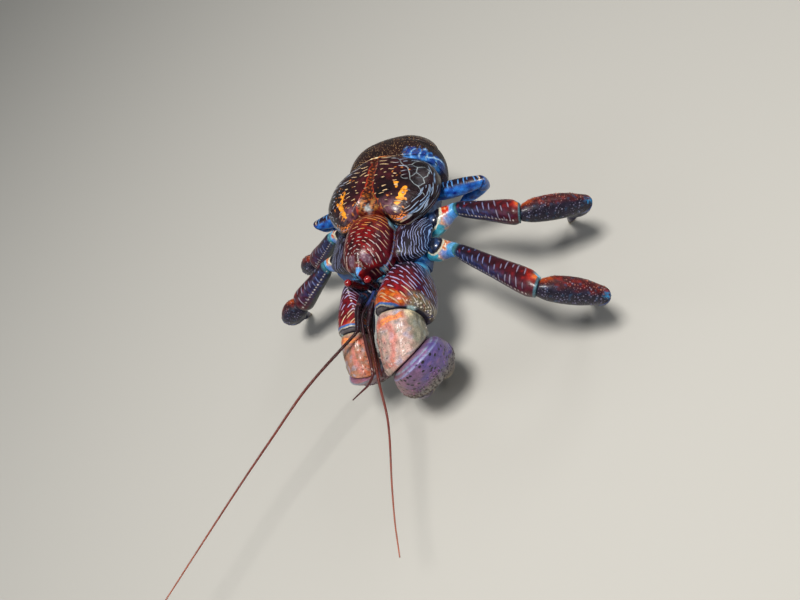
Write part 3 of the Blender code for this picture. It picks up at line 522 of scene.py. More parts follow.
# thin cuticle with little lime: a duller satin violet, ribbed by its pale lines
FLANK_SHELL = cuticle("combed_violet_cuticle", 0.42, 0.08, row_spacing=2.2, sway=0.6, relief=0.5,
                      scatter=0.25)
for name, sign in SIDES:
    outline = closed_curve(FLANK, 260) * [sign, 1]
    rings, depth, _ = plate(outline, (39.0 * sign, -42.0), levels_to_rim(72), flank_height, 6.0, 0.8)
    x, y = rings[..., 0], rings[..., 1]
    out = np.abs(x)
    tint = paint(
        "0e0814", ("1c0c22", clouds(rings, 12, 50)),
        ("3c0a14", step(33, 28, out + 1.5 * ripple(rings, 6, 51)) * 0.9),
        ("12284c", step(47, 55, out) * 0.85))
    mark = paint("a4acdc", ("a06c6c", step(33, 27, out) * 0.8), ("84a8dc", step(44, 53, out)))
    comb = out - 0.012 * (y + 40)**2 * step(28, 50, out) + 1.8 * ripple(rings, 22, 52)
    rows = (y / 19.0 + 40, comb / 2.2 + 40, 0.125, np.where(out < 33, 0.55, 1.15))
    # the right flank's lines are dimmed: painted shadow of the shield on that side
    strength = step(-7, -5.5, depth) * (0.9 if sign > 0 else 0.6)
    piece = skin(f"flank_{name}_shell", rings, FLANK_SHELL, tint, mark, strength, rows)
    settle(piece, "flank_shell", f"flank_{name}")

# Body block. The sternum and the leg sockets under the plates: thick grey-blue cuticle below, and soft blue
# hinge skin where it shows between the plates and the legs.

THORAX_FRONT, THORAX_REAR, THORAX_HALF_WIDTH = -58.0, 48.2, 47.0
SHOULDER, CORE_TOP = 5.7, 11.7


def fine_loops(loops, between, around):
    """A grid of loops made finer: straight steps from loop to loop, and along each loop."""
    loops = np.asarray(loops, float)
    closed = np.concatenate([loops, loops[:, :1]], axis=1)
    t = np.linspace(0, 1, around, endpoint=False)[:, None]
    sides = [closed[:, i:i + 1] * (1 - t) + closed[:, i + 1:i + 2] * t for i in range(loops.shape[1])]
    loops = np.concatenate(sides, axis=1)
    t = np.linspace(0, 1, between, endpoint=False)[:, None, None]
    steps = [loops[i] * (1 - t) + loops[i + 1] * t for i in range(len(loops) - 1)]
    return np.concatenate(steps + [loops[-1:]])


loops = []
full = THORAX_HALF_WIDTH
# sections as (y, half width, half width of the core that stands up under the carapace)
for y, half, core in ((THORAX_FRONT, full, 22), (-50, full, 22), (-38, full, 22), (-26, full, 22),
                      (-23, full, 30), (-18.5, full, 39), (-13, full, 45.5), (-11, full, full),
                      (14, full, full), (34.5, full, full), (40, full - 3, full),
                      (THORAX_REAR, full - 9, full)):
    core = min(core, half - 0.6)
    keel = -27.0 + 0.004 * (y + 10.0)**2
    right = [(12, keel + 1.5), (20, keel), (34, keel + 2), (half - 5, -21), (half, -17), (half, SHOULDER),
             (core + 0.3, SHOULDER), (core, CORE_TOP)]
    loop = [(0, keel + 3.2)] + right + [(-u, v) for u, v in right[::-1]]
    loops.append([(u, y, COXA_Z + v) for u, v in loop])
rings = fine_loops(loops, 5, 6)
x, y, z = rings[..., 0], rings[..., 1], rings[..., 2] - COXA_Z
plates = step(1.4, 0.5, np.abs((y + 58) % 27.0 - 13.5)) * step(-19, -21, z)
tint = paint(
    "34507a", ("27334e", step(-8, -20, z)),
    ("2860a4", step(-14, 2, z) * step(40, 46, np.abs(x))),
    ("0c2450", patches(rings, 8, 58, 0.0, 0.9) * step(-18, -6, z) * 0.75),
    ("78b4dc", step(0.16, 0.04, np.abs(ripple(rings * [1, 0.6, 1.4], 9, 59))) * step(-12, 0, z) * 0.5),
    ("9aa6b4", 0.6 * plates),
    ("8c8478", 0.5 * step(-20, -25, z) * patches(rings, 12, 60, 0, 0.7)))
# hard cuticle with low pale grains: grey-blue, with a soft gloss broken into points
STERNUM_SHELL = cuticle("sternum_cuticle", 0.42, 0.2, beads=(3.2, 0.7))
thorax = skin("body_block_shell", rings, STERNUM_SHELL, tint, "8c9cb8", 0.3, sharp=50)
settle(thorax, "sternum_shell", "thorax")

# Face. The front wall of the head under the beak: dark blue-black cuticle mottled with cyan, round the
# sockets of the eyes and feelers.

# the clear space between neighbouring parts
GAP = 0.3
FACE_FRONT = -80.5
loops = []
for y, half, low in ((THORAX_FRONT - GAP, 15.0, -16.0), (-66, 14.5, -14.0), (-73, 13.0, -8.0),
                     (-78, 12.5, -3.5), (FACE_FRONT, 10.5, -0.5)):
    top = CORE_TOP
    mid = (low + top) / 2
    loop = [(0, low), (half * 0.6, low + 1), (half, low + 5), (half, mid), (half, top - 2), (half * 0.7, top)]
    loop += [(0, top)] + [(-u, v) for u, v in loop[1:][::-1]]
    loops.append([(u, y, COXA_Z + v) for u, v in loop])
rings = fine_loops(loops, 8, 7)
tint = paint("101828", ("1c3a5c", clouds(rings, 7, 61)), ("4aa0c0", patches(rings, 4, 62, 0.45, 0.8)))
# smooth hard cuticle, kept damp from the mouth: a clear wet gloss over blue-black
FACE_SHELL = cuticle("mottled_face_cuticle", 0.36, 0.3, beads=(2.6, 0.6))
face = skin("face_shell", rings, FACE_SHELL, tint, "6fb4cc", 0.8)
settle(face, "face_shell", "face")

# Abdomen. A thick leathery bag over the liver, tucked forward under the body: dark, finely wrinkled and
# pimpled, with bright blue hinge skin where it meets the carapace.

ABDOMEN_HALF_WIDTH, ABDOMEN_LENGTH = 54.0, 48.0
ABDOMEN_Y, ABDOMEN_Z = 50.0, COXA_Z - 4.0


def smooth_table(rows, places):
    """A smooth curve through a few stations, read at the given values of the first column."""
    rows = np.asarray(rows, float)
    places = np.atleast_1d(places)
    padded = np.vstack([2 * rows[0] - rows[1], rows, 2 * rows[-1] - rows[-2]])
    i = np.clip(np.searchsorted(rows[:, 0], places, side="right") - 1, 0, len(rows) - 2)
    before, start, end, after = (padded[i + k] for k in range(4))
    span = (end - start)[:, :1]
    t = (places - start[:, 0])[:, None] / span
    lean_in = (end - before) / np.maximum((end - before)[:, :1], 1e-9) * span
    lean_out = (after - start) / np.maximum((after - start)[:, :1], 1e-9) * span
    return ((2 * t**3 - 3 * t**2 + 1) * start + (t**3 - 2 * t**2 + t) * lean_in
            + (-2 * t**3 + 3 * t**2) * end + (t**3 - t**2) * lean_out)


def abdomen_points(x, angle, lift):
    """Points of the abdomen's skin at an x and an angle round it, lifted off it by some millimetres."""
    a = np.radians(angle)
    high = np.where(np.sin(a) > 0, 39.0, 36.0)
    radius = 1.0 / np.sqrt((np.cos(a) / ABDOMEN_LENGTH)**2 + (np.sin(a) / high)**2)
    taper = np.sqrt(np.maximum(0.0, 1 - np.abs(x / ABDOMEN_HALF_WIDTH)**2.6))
    radius = radius * taper + lift
    x = np.broadcast_to(x, radius.shape)
    return np.stack([x, ABDOMEN_Y + radius * np.cos(a), ABDOMEN_Z + radius * np.sin(a)], -1)


def across_steps(half, count):
    """A column of places from side to side, closer together at the sides."""
    return (half * np.sin(np.radians(np.linspace(-90, 90, count))))[:, None]


def hinge_skin(colour, rings, hinge, share=1.0):
    """Blue hinge skin painted over a colour: blue veins, with pale painted highlights along them."""
    vein_and_highlight = np.abs(ripple(rings * [0.5, 1, 1], 8, 66))
    colour = blend(colour, "0c3480", hinge * share)
    colour = blend(colour, "3c8cd8", hinge * step(0.5, 0.2, vein_and_highlight) * 0.8)
    # pale painted highlights along the veins
    return blend(colour, "c0dcec", hinge * step(0.16, 0.06, vein_and_highlight) * patches(rings, 8, 67, -0.3, 0.5))


ACROSS, BEND_STEPS, WALL_STEPS = 120, 30, 14
front = THORAX_REAR + GAP
x = across_steps(ABDOMEN_HALF_WIDTH * 0.985, ACROSS)
arc = abdomen_points(x, np.linspace(86.0, -90.0, 130)[None], 0.0)
arc += (ripple(arc, 5, 63) * 0.22 * step(1.0, 0.8, np.abs(x / 54)))[..., None] * [0, 0.7, 0.7]
arc[..., 1] = np.maximum(arc[..., 1], front + 0.4)
top, low = arc[:, 0, 2], arc[:, -1, 2]
shelf = np.maximum(np.minimum(COXA_Z - 28.0, low + 8.0), low + 1.0)
tuck = 1.0 + 26.0 * np.sqrt(np.maximum(0.0, 1 - (x[:, 0] / 27.0)**2))
# the tucked end as (place, how far forward, how far up), the last two as shares
UNDER = [(0, 0.0, 0.0), (1, 0.45, 0.04), (2, 0.8, 0.25), (3, 1.0, 0.62), (4, 0.85, 0.94), (5, 0.4, 1.0)]
bend = smooth_table(UNDER, np.linspace(0.15, 5, BEND_STEPS))[:, 1:]
under = np.stack([np.broadcast_to(x, (ACROSS, BEND_STEPS)), front - tuck[:, None] * bend[None, :, 0],
                  low[:, None] + (shelf - low)[:, None] * np.clip(bend[None, :, 1], 0, 1)], -1)
climb = np.linspace(0.03, 0.98, WALL_STEPS)[None]
wall = np.stack([np.broadcast_to(x, (ACROSS, WALL_STEPS)), np.full((ACROSS, WALL_STEPS), front),
                 shelf[:, None] + (top - shelf)[:, None] * climb], -1)
rings = np.concatenate([arc, under, wall], axis=1)
x, y, z = rings[..., 0], rings[..., 1], rings[..., 2] - COXA_Z
tint = paint(
    "140c0e", ("24181a", clouds(rings, 11, 64)),
    ("3c3a4c", step(6, -26, z) * 0.8),
    ("5a5260", step(-26, -40, z) * 0.7))
hinge = step(62, 57, y + 3.0 * ripple(rings, 5, 65)) * step(20, 27, np.abs(x) + ripple(rings, 4, 69))
hinge = hinge * step(-6, 6, z) * np.where(x > 0, 1.0, step(34, 42, -x))
tint = hinge_skin(tint, rings, hinge)
tint = blend(tint, "0c1024", hinge * patches(rings, 4, 68, 0.8, 1.1))
# tough skin with hardly any lime: nearly matt, each pimple with a small light of its own
LEATHERY_SKIN = cuticle("leathery_abdomen_skin", 0.55, 0.06, beads=(2.4, 0.55), relief=0.6)
abdomen = skin("abdomen_skin", rings, LEATHERY_SKIN, tint, blend("a8683c", "5aa0e0", hinge), 0.7, sharp=60)
settle(abdomen, "abdomen_skin", "abdomen")

# Abdominal plates and tail fan. Four hard bands let into the skin of the back, each hind edge standing proud
# of the next: dark brown cuticle, evenly pimpled with tiny pale and orange points, under a scuffed gloss.

# hard cuticle, scuffed: brown under a broad dull shine, and stippled by its pale points
TERGITE_SHELL = cuticle("pimpled_brown_cuticle", 0.42, 0.12, beads=(2.1, 0.72), relief=0.5)
# bands as (degrees round the abdomen to the front edge and to the hind edge, half width)
TERGITE_BANDS = ((92, 49, 46), (46, 5, 47), (2, -38, 43), (-41, -78, 34))
PLATE_THICKNESS = 2.6
for number, (first, last, half) in enumerate(TERGITE_BANDS, 2):
    x = across_steps(half, 130)
    reach = 1 - 0.62 * np.abs(x / half)**4
    t = np.linspace(0, 1, 46)[None]
    angle = (first + last) / 2 + (last - first) / 2 * reach * (2 * t - 1)
    body = PLATE_THICKNESS * (1 - 0.35 * (np.abs(x) / half)**4)
    round_rim = np.sqrt(np.clip(1 - np.abs(2 * t - 1)**14, 0, 1))
    round_rim = round_rim * np.sqrt(np.clip(1 - np.abs(x / half)**24, 0, 1))
    over = abdomen_points(x, angle, GAP + body * (0.73 + 0.5 * t) * (0.3 + 0.7 * round_rim))
    under = abdomen_points(x, angle[:, ::-1], GAP + 0.4 * (x / half)**2)
    rings = np.concatenate([over, under], axis=1)
    across, y = rings[..., 0], rings[..., 1]
    t = np.concatenate([t, t[:, ::-1]], axis=1)
    tint = paint(
        "180a0a", ("2c120c", clouds(rings, 16, 70 + number)),
        ("0e0808", 0.7 * step(0.86, 0.96, t)),
        ("8a5a3c", step(0.035, 0.015, np.abs(t - 0.985)) * 0.8))
    hinge = step(62, 57, y + 3.0 * ripple(rings, 5, 65)) * step(24, 31, across + ripple(rings, 4, 69))
    hinge = hinge * (number == 2)
    tint = hinge_skin(tint, rings, hinge, 0.95)
    mark = blend("b8906c", "e0b078", patches(rings, 14, 78, 0, 0.6))
    piece = skin(f"tergite_{number}_plate", rings, TERGITE_SHELL, tint, mark, 0.95 - 0.7 * hinge)
    settle(piece, "tergite_shell", f"tergite_{number}")

low = abdomen_points(np.array([0.0]), np.array([-90.0]), 0.0)[0, 2] - GAP
loops = []
for x in across_steps(15.0, 60)[:, 0]:
    reach = 11.0 * math.sqrt(max(0.0, 1 - (x / 15.6)**2))
    rear, mid, fore = (THORAX_REAR - 9.0 + reach * s for s in (1, 0, -1))
    loops.append([(x, rear, low), (x, mid, low), (x, fore, low), (x, fore + 0.4, low - 1.6),
                  (x, mid, low - 3.4), (x, rear - 0.4, low - 1.8)])
rings = fine_loops(loops, 1, 8)
tail = skin("tail_fan_plate", rings, TERGITE_SHELL, blend("3a1c16", "1c1014", clouds(rings, 9, 79)),
            "b08058", 0.6)
settle(tail, "tergite_shell", "tail_fan")

# Eyes. Two short stalks under the beak carry round corneas: wet-looking, blood-red lenses over a fine grid of
# facets, which only softens their gloss.

EYE_RADIUS = 3.6


def unit(v):
    """The same direction, one long."""
    v = np.asarray(v, float)
    return v / np.linalg.norm(v)


def rod(route, radii, sides, start_plane, end_plane=None):
    """Rings across a bent rod through many close places; radii has one value for each."""
    route = np.asarray(route, float)
    tangents = np.gradient(route, axis=0)
    tangents[0] = start_plane
    if end_plane is not None:
        tangents[-1] = end_plane
    tangents /= np.linalg.norm(tangents, axis=1)[:, None]
    hint = np.where(np.abs(tangents[:, 2:]) < 0.9, [0, 0, 1.0], [0, 1.0, 0])
    u = np.cross(tangents, hint)
    u /= np.linalg.norm(u, axis=1)[:, None]
    v = np.cross(u, tangents)
    a = np.linspace(0, 2 * math.pi, sides, endpoint=False)[None, :, None]
    ring = np.cos(a) * u[:, None] + np.sin(a) * v[:, None]
    return route[:, None] + np.asarray(radii)[:, None, None] * ring


def route_through(points, count, extra=None):
    """Even steps along a smooth line through the given places, with any further columns carried along."""
    points = np.asarray(points, float)
    steps = np.concatenate([[0], np.cumsum(np.linalg.norm(np.diff(points, axis=0), axis=1))])
    columns = [steps[:, None], points] + ([np.asarray(extra, float)[:, None]] if extra is not None else [])
    return smooth_table(np.hstack(columns), np.linspace(0, steps[-1], count))[:, 1:]


def round_rings(first, last, down, around):
    """Rings of a unit ball between two angles from its pole, in degrees."""
    a = np.radians(np.linspace(first, last, down))[:, None]
    b = np.linspace(0, 2 * math.pi, around, endpoint=False)[None]
    return np.stack([np.sin(a) * np.cos(b), np.sin(a) * np.sin(b), np.cos(a) * np.ones_like(b)], -1)


# a clear lens over red pigment: glass-like, with one sharp light. Its facets, which soften that light, are
# drawn at 0.35 mm, coarser than real ones, so that they do.
FACET = 0.35
CORNEA, tree, surface = blank_material(
    "wet_red_cornea", {"IOR": 1.42, "Coat Weight": 1.0, "Coat Roughness": 0.03, "Roughness": 0.2})
place = add(tree, "ShaderNodeTexCoord").outputs["Object"]
facets = add(tree, "ShaderNodeTexVoronoi", {"Vector": place, "Scale": 1 / (FACET * MM)})
depths = add(tree, "ShaderNodeTexNoise", {"Vector": place, "Scale": 1 / (2.5 * MM)})
reds = add(tree, "ShaderNodeMix", {0: depths, 6: (*linear("5c0206"), 1.0), 7: (*linear("a00610"), 1.0)},
           data_type="RGBA")
tree.links.new(reds.outputs[2], surface.inputs["Base Color"])
bump = add(tree, "ShaderNodeBump", {"Height": facets, "Distance": 0.04 * MM})
tree.links.new(bump.outputs["Normal"], surface.inputs["Normal"])
# smooth cuticle that the crab wipes clean: dark red with a bright gloss
STALK_SHELL = cuticle("dark_red_stalk_cuticle", 0.3, 0.4, beads=(1.8, 0.4))
for name, sign, spread in (("left", 1, 7.6), ("right", -1, 11.8)):
    root = np.array([3.6 * sign, FACE_FRONT - GAP, COXA_Z + 8.1])
    bend = root + [2.6 * sign, -4.2, 4.6]
    tip = np.array([spread * sign, -87.9, COXA_Z + 26.0])
    line = route_through([root, bend, (bend + tip) / 2, tip], 40, [2.3, 2.8, 2.9, 3.3])
    rings = rod(line[:, :3], line[:, 3], 36, (0, -1, 0))
    tint = blend("44080c", "1c060c", clouds(rings, 4, 80))
    stalk = skin(f"eyestalk_{name}_shell", rings, STALK_SHELL, tint, "b87848", 0.6)
    settle(stalk, "eyestalk_shell", f"eyestalk_{name}")
    centre = tip + unit(tip - bend) * (EYE_RADIUS + GAP)
    cornea = skin(f"eye_{name}_cornea", centre + (EYE_RADIUS - 0.03) * round_rings(4, 176, 36, 56), CORNEA)
    settle(cornea, "cornea", f"eye_{name}")

# Mouth. A pair of jointed palps hangs before the jaws: periwinkle and dark blue cuticle with swollen
# segments, and a fringe of short amber bristles down the inner side that brushes food from the jaws.


def growth_tree(form):
    """A Geometry Nodes tree that grows one small form all over a piece, thickest where its grain is 1.

    form: "granule", a low round bead, or "bristle", a thin hair bent at half its length.
    """
    tree = bpy.data.node_groups.new(form + "s", "GeometryNodeTree")
    sockets = tree.interface
    sockets.new_socket("Geometry", in_out="INPUT", socket_type="NodeSocketGeometry")
    for label, value in (("Spacing", 2.0 * MM), ("Size", 0.5 * MM), ("Height", 0.5 * MM)):
        sockets.new_socket(label, in_out="INPUT", socket_type="NodeSocketFloat").default_value = value
    sockets.new_socket("Seed", in_out="INPUT", socket_type="NodeSocketInt").default_value = 1
    sockets.new_socket("Material", in_out="INPUT", socket_type="NodeSocketMaterial")
    sockets.new_socket("Geometry", in_out="OUTPUT", socket_type="NodeSocketGeometry")
    given = add(tree, "NodeGroupInput").outputs
    grain = add(tree, "GeometryNodeInputNamedAttribute", {"Name": "grain"}, data_type="FLOAT")
    square = add(tree, "ShaderNodeMath", (given["Spacing"], 2.0), operation="POWER")
    density = add(tree, "ShaderNodeMath", (1.4, square), operation="DIVIDE")
    places = add(tree, "GeometryNodeDistributePointsOnFaces",
                 {"Mesh": given["Geometry"], "Distance Min": given["Spacing"], "Density Max": density,
                  "Density Factor": grain, "Seed": given["Seed"]}, distribute_method="POISSON")
    if form == "granule":
        shape = add(tree, "GeometryNodeMeshUVSphere", {"Segments": 8, "Rings": 5, "Radius": 1.0})
    else:
        shape = add(tree, "GeometryNodeMeshCone", {"Vertices": 3, "Side Segments": 4, "Radius Top": 0.15,
                                                  "Radius Bottom": 1.0, "Depth": 1.0})
        place = add(tree, "GeometryNodeInputPosition")
        place = add(tree, "ShaderNodeSeparateXYZ", (place,)).outputs["Z"]
        lean = add(tree, "ShaderNodeMath", (place, place), operation="MULTIPLY")
        lean = add(tree, "ShaderNodeMath", (lean, 5.0), operation="MULTIPLY")
        lean = add(tree, "ShaderNodeCombineXYZ", (lean,))
        shape = add(tree, "GeometryNodeSetPosition", {"Geometry": shape, "Offset": lean})
    shape = add(tree, "GeometryNodeSetShadeSmooth", {"Geometry": shape})
    # each leans a little its own way, turned by chance, and grows to between 0.4 and 1.3 of its size
    spin = add(tree, "FunctionNodeRandomValue", {"Min": (-0.25, -0.25, 0.0), "Max": (0.25, 0.25, 6.28),
                                                 "Seed": given["Seed"]}, data_type="FLOAT_VECTOR")
    spin = add(tree, "FunctionNodeEulerToRotation", (spin,))
    turn = add(tree, "FunctionNodeRotateRotation", (places.outputs["Rotation"], spin), rotation_space="LOCAL")
    grown = add(tree, "FunctionNodeRandomValue", {2: 0.4, 3: 1.3, "Seed": given["Seed"]}, data_type="FLOAT")
    grown = grown.outputs[1]
    girth = add(tree, "ShaderNodeMath", (given["Size"], grown), operation="MULTIPLY")
    high = add(tree, "ShaderNodeMath", (given["Height"], grown), operation="MULTIPLY")
    scale = add(tree, "ShaderNodeCombineXYZ", (girth, girth, high))
    crop = add(tree, "GeometryNodeInstanceOnPoints",
               {"Points": places, "Instance": shape, "Rotation": turn, "Scale": scale})
    real = add(tree, "GeometryNodeRealizeInstances", {"Geometry": crop})
    painted = add(tree, "GeometryNodeSetMaterial", {"Geometry": real, "Material": given["Material"]})
    add(tree, "NodeGroupOutput", {"Geometry": painted})
    return tree


def grow(host, slot, name, tree, material, spacing, size, height, seed):
    """Grow a crop of granules or bristles on a piece as a plain mesh of its own; sizes in mm."""
    crop = put(name, host.data.copy())
    modifier = crop.modifiers.new("growth", "NODES")
    modifier.node_group = tree
    values = {"Spacing": spacing * MM, "Size": size * MM, "Height": height * MM, "Seed": seed,
              "Material": material}
    for item in tree.interface.items_tree:
        if item.in_out == "INPUT" and item.name in values:
            modifier[item.identifier] = values[item.name]
    bpy.context.view_layer.update()
    grown = bpy.data.meshes.new_from_object(crop.evaluated_get(bpy.context.evaluated_depsgraph_get()))
    crop.modifiers.remove(modifier)
    crop.data = grown
    grown.name = name
    settle(crop, slot)


def crop_cuticle(name, roughness, share):
    """Cuticle of granules or bristles; share: how much of the marks' own colour lies over the skin's."""
    material, tree, surface = blank_material(name, {"Roughness": roughness, "Specular IOR Level": 0.4})
    colours = [add(tree, "ShaderNodeAttribute", attribute_name=label).outputs["Color"]
               for label in ("tint", "mark")]
    place = add(tree, "ShaderNodeTexCoord").outputs["Object"]
    patch = add(tree, "ShaderNodeTexNoise", {"Vector": place, "Scale": 1 / (2.2 * MM)}).outputs["Fac"]
    part = add(tree, "ShaderNodeMapRange", {"Value": patch, "From Min": 0.35, "From Max": 0.65,
                                           "To Min": share * 0.35, "To Max": share}).outputs["Result"]
    mix = add(tree, "ShaderNodeMix", {0: part, 6: colours[0], 7: colours[1]}, data_type="RGBA")
    tree.links.new(mix.outputs[2], surface.inputs["Base Color"])
    return material


def joint_rings(t, places, width):
    """1 at the jointed places along a limb, falling to 0 beside them."""
    return sum(np.exp(-((t - at) / width)**2) for at in places)


BRISTLES = growth_tree("bristle")
# horn without lime: amber, with a silky light along each hair
BRISTLE_HORN = crop_cuticle("amber_bristle_horn", 0.4, 0.9)
# smooth thin cuticle, moist: periwinkle, with a bright gloss and a few fine grains
PALP_SHELL = cuticle("periwinkle_palp_cuticle", 0.36, 0.3, beads=(2.2, 0.45))
for name, sign in SIDES:
    root = np.array([5.6 * sign, -73.0, COXA_Z - 9.5])
    bends = [(0.5, -8, -9), (0.6, -15, -20), (-0.6, -16, -34), (-1.5, -11, -47)]
    line = route_through([root] + [root + [u * sign, v, w] for u, v, w in bends], 90)
    girth = np.array([3.2, 4.2, 4.6, 4.0, 4.3, 3.8, 3.2, 2.4, 1.0])
    t = np.linspace(0, 1, 90)
    joints = joint_rings(t, (0.22, 0.47, 0.66, 0.84), 0.012)
    radii = np.interp(t * 8, np.arange(9), girth) * (1 - 0.13 * joints) - 0.05
    rings = rod(line, radii, 40, (0, -0.45, -0.9))
    tint = paint(
        "39509c", ("6c84d0", clouds(rings, 8, 82)),
        ("14182c", np.clip(joints, 0, 1)[:, None] * 0.9),
        ("2a2440", step(0.75, 1.0, t)[:, None] * 0.8))
    inward = step(0.2, 0.8, sign * unit([-1, -0.5, 0]) @ np.swapaxes(rings - line[:, None], 1, 2) / 3.0)
    mark = blend("a8b8e4", "b08850", inward)
    palp = skin(f"maxilliped_{name}_shell", rings, PALP_SHELL, tint, mark, 0.6 * (1 - inward),
                grain=inward * step(0.30, 0.36, t)[:, None])
    settle(palp, "face_shell", f"maxilliped_{name}")
    grow(palp, "face_shell", f"maxilliped_{name}_fringe", BRISTLES, BRISTLE_HORN, 0.9, 0.12, 2.6, 16)

# Feelers. Each antenna has a stout jointed base and a whip of some three hundred short rings; the antennules
# between them are elbowed rods. All are red-brown horny cuticle, slightly polished.

# horny cuticle in short rings, rubbed smooth: red-brown, with a light on each ring. The rings are drawn at
# 1.6 mm, coarser than real ones, so that they show.
RING_LENGTH = 1.6
WHIP_SHELL = cuticle("red_brown_whip_cuticle", 0.34, 0.35, mottle=0.25, relief=0.2)
ANTENNAE = {"right": [(-7, -106, 128), (-1.4, -134.8, 130), (-50, -183, 124), (-84, -225, 116),
                      (-117, -269.5, 109), (-172, -365, 105), (-190, -396, 103)],
            "left": [(6.4, -106, 125.5), (5.4, -128, 125), (9.7, -144.8, 120), (15.3, -176, 108),
                     (23.8, -210, 97), (32.5, -264.7, 90), (38.2, -293.6, 87), (45, -320, 84)]}
ANTENNULES = {"right": [(-2.5, -95, 117), (-4.5, -117, 123), (5.1, -148.7, 119), (10, -173.4, 112),
                        (-16.1, -186, 98)],
              "left": [(2.5, -95, 116), (2.0, -116, 117), (5.4, -139.6, 111), (16.3, -170.3, 106)]}
WHIP_RADIUS = 1.7
for name, sign in SIDES:
    places = np.array(ANTENNAE[name], float)
    base = np.array([6.4 * sign, FACE_FRONT - GAP, COXA_Z + 2.4])
    outward = unit(places[2] - places[1])
    coarse = route_through([base, base + [0.9 * sign, -7, 3.5], places[0], places[1]], 7)
    line = route_through(coarse, 90, [2.8, 3.8, 3.4, 2.6, 2.7, 2.3, 2.0])
    t = np.linspace(0, 1, 90)
    joints = joint_rings(t, (0.24, 0.5, 0.76), 0.014)
    rings = rod(line[:, :3], line[:, 3] * (1 - 0.12 * joints) - 0.05, 32, (0, -1, 0), outward)
    eyelet = np.linalg.norm(rings - [-4.4, -83.0, COXA_Z + 5.6], axis=-1)
    tint = paint(
        "141a2c", ("2c4c70", patches(rings, 3, 83, 0.2, 0.9)),
        ("240e16", step(0.3, 0.5, t + 0.06 * ripple(rings, 4, 87)[:, 0])[:, None]),
        ("5c3434", (step(0.02, 0.008, np.abs(t - 0.24)) + step(0.02, 0.008, np.abs(t - 0.5)))[:, None]),
        ("d8d4dc", step(4.2, 3.6, eyelet)),
        ("2c0c30", step(2.6, 2.1, eyelet)))
    peduncle = skin(f"antenna_{name}_base", rings, FACE_SHELL, tint, "6c90b0", 0.5)
    settle(peduncle, "face_shell", f"antenna_{name}")
    line = route_through([places[1] + outward * GAP, *places[2:]], 1500)
    t = np.linspace(0, 1, 1500)
    radii = WHIP_RADIUS * (1 - 0.62 * t**0.8)
    length = np.linalg.norm(np.diff(line, axis=0), axis=1).sum()
    rings = rod(line, radii * (0.90 + 0.09 * np.sin(t * length / RING_LENGTH * 2 * math.pi)), 10, outward)
    tint = paint(
        "2c0c0c", ("6a2418", step(0.0, 0.35, t)[:, None]),
        ("a85c40", step(0.45, 1.0, t)[:, None] * 0.7))
    whip = skin(f"flagellum_{name}_whip", rings, WHIP_SHELL, tint)
    settle(whip, "feeler_shell", f"flagellum_{name}")
    base = np.array([2.1 * sign, FACE_FRONT - GAP, COXA_Z + 1.6])
    coarse = route_through([base, *ANTENNULES[name]], 12)
    line = route_through(coarse, 200, [1.5, 1.9, 1.9, 1.8, 1.9, 1.7, 1.8, 1.6, 1.5, 1.2, 0.9, 0.7])
    t = np.linspace(0, 1, 200)
    joints = joint_rings(t, (0.2, 0.43, 0.7), 0.008)
    rings = rod(line[:, :3], line[:, 3] * (1 - 0.2 * joints) - 0.05, 24, (0, -1, 0))
    tint = paint(
        "200c14", ("4c1c1c", step(0.1, 0.9, t)[:, None]),
        ("4058a0", (step(0.2, 0.12, t) * 0.5)[:, None]))
    rods = skin(f"antennule_{name}_rod", rings, WHIP_SHELL, tint)
    settle(rods, "feeler_shell", f"antennule_{name}")

# Great claws. Base, arm, wrist and palm of thick calcified cuticle, each hooded over the next at the joint: a
# crimson arm under slanting lilac wrinkles with a fiery band at its end, a pink granular wrist, and a mauve
# pitted palm with a doubled pale ridge along its joint and a moving finger inside.

UPRIGHT = np.array([0.0, 0.0, 1.0])


def direction(azimuth, pitch):
    """A unit vector from degrees round from +X and degrees up."""
    a, p = math.radians(azimuth), math.radians(pitch)
    return np.array([math.cos(a) * math.cos(p), math.sin(a) * math.cos(p), math.sin(p)])


def stations(places, high=1.0, wide=1.0, lift=1.0, shift=1.0):
    """Sections of a limb as (fraction along, half height, half width, lift, shift).

    The last two are 0 if left out. Each measure is sized by its own number.
    """
    return (np.array([(*place, 0.0, 0.0)[:5] for place in places]) * [1.0, high, wide, lift, shift]).tolist()


